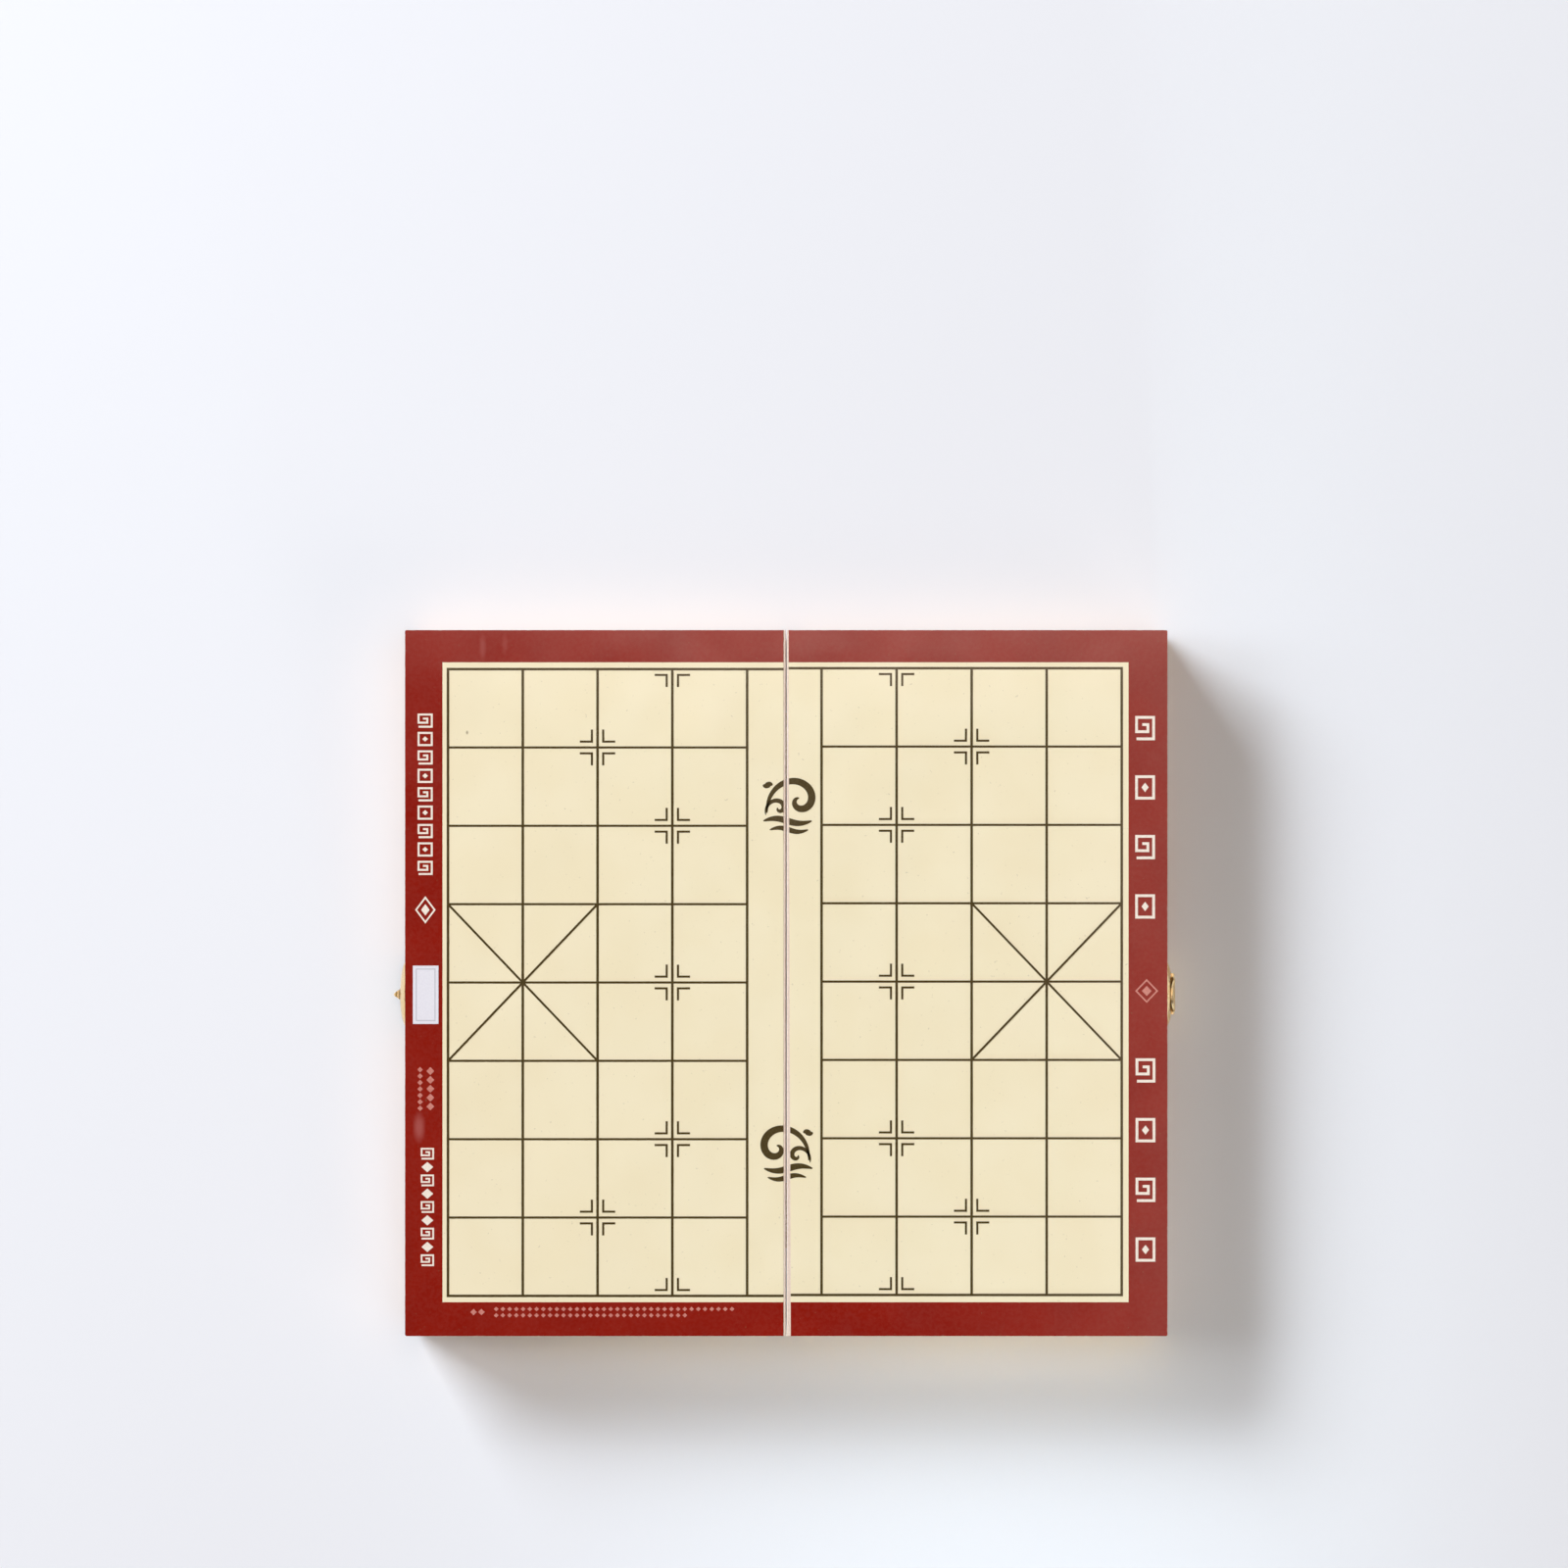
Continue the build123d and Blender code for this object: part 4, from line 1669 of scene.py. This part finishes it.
@dataclass
class Studio:
    """The camera, soft lamps, a pale floor and a plain sky."""

    camera_place: Triple = (-0.0011, 0.0987, 1.9267)
    lens: float = 88.0
    sensor: float = 36.0
    nearest: float = 0.01
    floor_half: float = 7.0
    floor_colour: Colour = srgb(235, 235, 237)
    floor_roughness: float = 0.9
    floor_gloss: float = 0.1
    sky: Sky = Sky()
    softboxes: tuple[Softbox, ...] = (
        Softbox("far_window", (-5.2, 4.8, 2.15), (4.2, 1.6), 1260.0, DAYLIGHT),
        Softbox("side_window", (-7.4, 1.3, 2.9), (3.1, 2.6), 300.0, DAYLIGHT),
        Softbox("corner_screen", (5.1, -4.5, 2.25), (3.6, 2.1), 85.5, WARM_BOUNCE),
        Softbox(
            "near_screen",
            (0.16, -1.35, 0.06),
            (0.34, 0.04),
            1.15,
            COOL_BOUNCE,
            aim=(0.12, -0.18, 0.01),
            spread=26.0,
        ),
    )

    def floor(self) -> None:
        """Adds the floor."""
        mesh = bpy.data.meshes.new("floor")
        points = [(x * self.floor_half, y * self.floor_half, 0.0) for x, y in SQUARE]
        mesh.from_pydata(points, [], [range(len(points))])
        material = bpy.data.materials.new("floor")
        material.use_nodes = True
        surface = material.node_tree.nodes["Principled BSDF"]
        surface.inputs["Base Color"].default_value = (*self.floor_colour, 1.0)
        surface.inputs["Roughness"].default_value = self.floor_roughness
        surface.inputs["Specular IOR Level"].default_value = self.floor_gloss
        mesh.materials.append(material)
        add_object("floor", mesh)

    def camera(self) -> None:
        """Adds the camera, straight above the board."""
        data = bpy.data.cameras.new("camera")
        data.sensor_width = self.sensor
        data.lens = self.lens
        data.clip_start = self.nearest
        made = bpy.data.objects.new("camera", data)
        made.location = self.camera_place
        bpy.context.scene.collection.objects.link(made)
        bpy.context.scene.camera = made

    def build(self) -> None:
        """Builds the whole studio."""
        self.floor()
        self.sky.build()
        self.camera()
        for softbox in self.softboxes:
            softbox.build()
        bpy.context.scene.view_settings.view_transform = "Standard"


# ---------------------------------------------------------------------------------------------
# The whole box
# ---------------------------------------------------------------------------------------------


INKS = {
    "olive": OLIVE_INK,
    "pale": PALE_INK,
    "faint": FAINT_INK,
    "white": LABEL_WHITE,
    "grey": LABEL_GREY,
}

LARGE_FRET = Motif(Pattern.FRET, 9.8, 12.0, 1.35)
LARGE_WINDOW = Motif(Pattern.WINDOW, 9.8, 12.0, 1.35)
SMALL_FRET = Motif(Pattern.FRET, 7.5, 7.0, 0.95)
SMALL_WINDOW = Motif(Pattern.WINDOW, 7.5, 7.0, 0.95)
LEAST_FRET = Motif(Pattern.FRET, 6.6, 5.8, 0.85)
TINY_LOZENGE = Motif(Pattern.LOZENGE, 2.7, 2.5, 0.3)

LABEL_PLACE: Point = (-178.75, -5.8)

BORDERS = {
    Side.LEFT: (
        Run(SMALL_FRET, "pale", (-179.0, 130.1), (0.0, -18.25), 5),
        Run(SMALL_WINDOW, "pale", (-179.0, 121.0), (0.0, -18.25), 4),
        Run(Motif(Pattern.NEST, 10.0, 13.0, 0.8), "pale", (-178.9, 36.3)),
        Run(Motif(Pattern.PLATE, 13.2, 29.4, 0.5), "white", LABEL_PLACE),
        Run(Motif(Pattern.FRAME, 9.8, 26.0, 0.5), "grey", LABEL_PLACE, layer=1),
        Run(Motif(Pattern.LOZENGE, 4.4, 4.4, 0.5), "faint", (-176.4, -43.6), (0.0, -4.4), 5),
        Run(Motif(Pattern.LOZENGE, 3.2, 3.2, 0.5), "faint", (-181.5, -42.9), (0.0, -3.2), 7),
        Run(LEAST_FRET, "pale", (-177.9, -84.6), (0.0, -13.2), 5),
        Run(Motif(Pattern.LOZENGE, 6.2, 5.4, 0.3), "pale", (-177.9, -91.2), (0.0, -13.2), 4),
        Run(Motif(Pattern.LOZENGE, 3.5, 3.5, 0.3), "faint", (-155.0, -163.1), (3.9, 0.0), 2),
        Run(TINY_LOZENGE, "faint", (-143.8, -161.6), (3.34, 0.0), 36),
        Run(TINY_LOZENGE, "faint", (-143.8, -164.7), (3.34, 0.0), 29),
    ),
    Side.RIGHT: (
        Run(LARGE_FRET, "pale", (177.9, 126.4), (0.0, -59.0), 2),
        Run(LARGE_WINDOW, "pale", (177.9, 97.0), (0.0, -59.0), 2),
        Run(Motif(Pattern.NEST, 11.2, 11.6, 0.75), "faint", (178.7, -3.9)),
        Run(LARGE_FRET, "pale", (178.1, -43.3), (0.0, -59.2), 2),
        Run(LARGE_WINDOW, "pale", (178.1, -72.9), (0.0, -59.2), 2),
    ),
}

WALL_GRAINS = {"front": Axis.Y, "hinge": Axis.Y, "far": Axis.X, "near": Axis.X}
CLASP_PIECES = (
    "catch_plate",
    "clasp_plate",
    "clasp_flap",
    "clasp_pin",
    "catch_nails",
    "clasp_nails",
)


@dataclass
class BoardBox:
    """The box's two halves, hinges and clasp, each with its finishes."""

    left_lines: Lines = Lines(outer_rank=-167.7, bank=-19.4, middle_file=0.3)
    right_lines: Lines = Lines(outer_rank=166.3, bank=17.5, middle_file=0.75)

    def trays(self) -> None:
        """Dresses the panels, the sheets and the walls."""
        for side in Side:
            dress(f"{side.word}_panel", Fibreboard())
            dress(f"{side.word}_print", PrintedSheet())
            for wall, grain in WALL_GRAINS.items():
                dress(f"{side.word}_{wall}_wall", PaleWood(grain))

    def metalwork(self) -> None:
        """Dresses the hinges and the clasp."""
        for end in ("far", "near"):
            for side in Side:
                dress(f"{end}_hinge_{side.word}_leaf", HINGE_BRASS)
            dress(f"{end}_hinge_pin", HINGE_BRASS)
        for side in Side:
            dress(f"{side.word}_hinge_screws", SCREW_STEEL)
        for name in CLASP_PIECES:
            dress(name, CLASP_GILT)

    def prints(self) -> None:
        """Lays the printed lines and the river's waves."""
        recipes = Recipes()
        for side, lines in ((Side.LEFT, self.left_lines), (Side.RIGHT, self.right_lines)):
            half = PrintedHalf(side, lines)
            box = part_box(f"{side.word}_print")
            inks = {word: ink.make(f"{side.word}_{word}_ink", box) for word, ink in INKS.items()}
            half.build(recipes, inks["olive"])
            sketch = InkSketch(*half.height())
            RiverWaves().draw(sketch)
            half.cut_at_seam(sketch)
            ride(sketch.finish(f"{side.word}_river_waves", inks["olive"]), side)
            Border(half, BORDERS[side]).build(recipes.motifs, inks)

    def build(self) -> None:
        """Finishes the whole box."""
        self.trays()
        self.metalwork()
        self.prints()


def corners(box: Iterable[Vector]) -> list[list[float]]:
    """A box's corners as plain lists."""
    return [list(corner) for corner in box]


def main() -> None:
    """Loads the frame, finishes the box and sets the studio."""
    logging.basicConfig(level=logging.INFO, format="%(name)s: %(message)s")
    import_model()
    BoardBox().build()
    Studio().build()


if __name__ == "__main__":
    main()
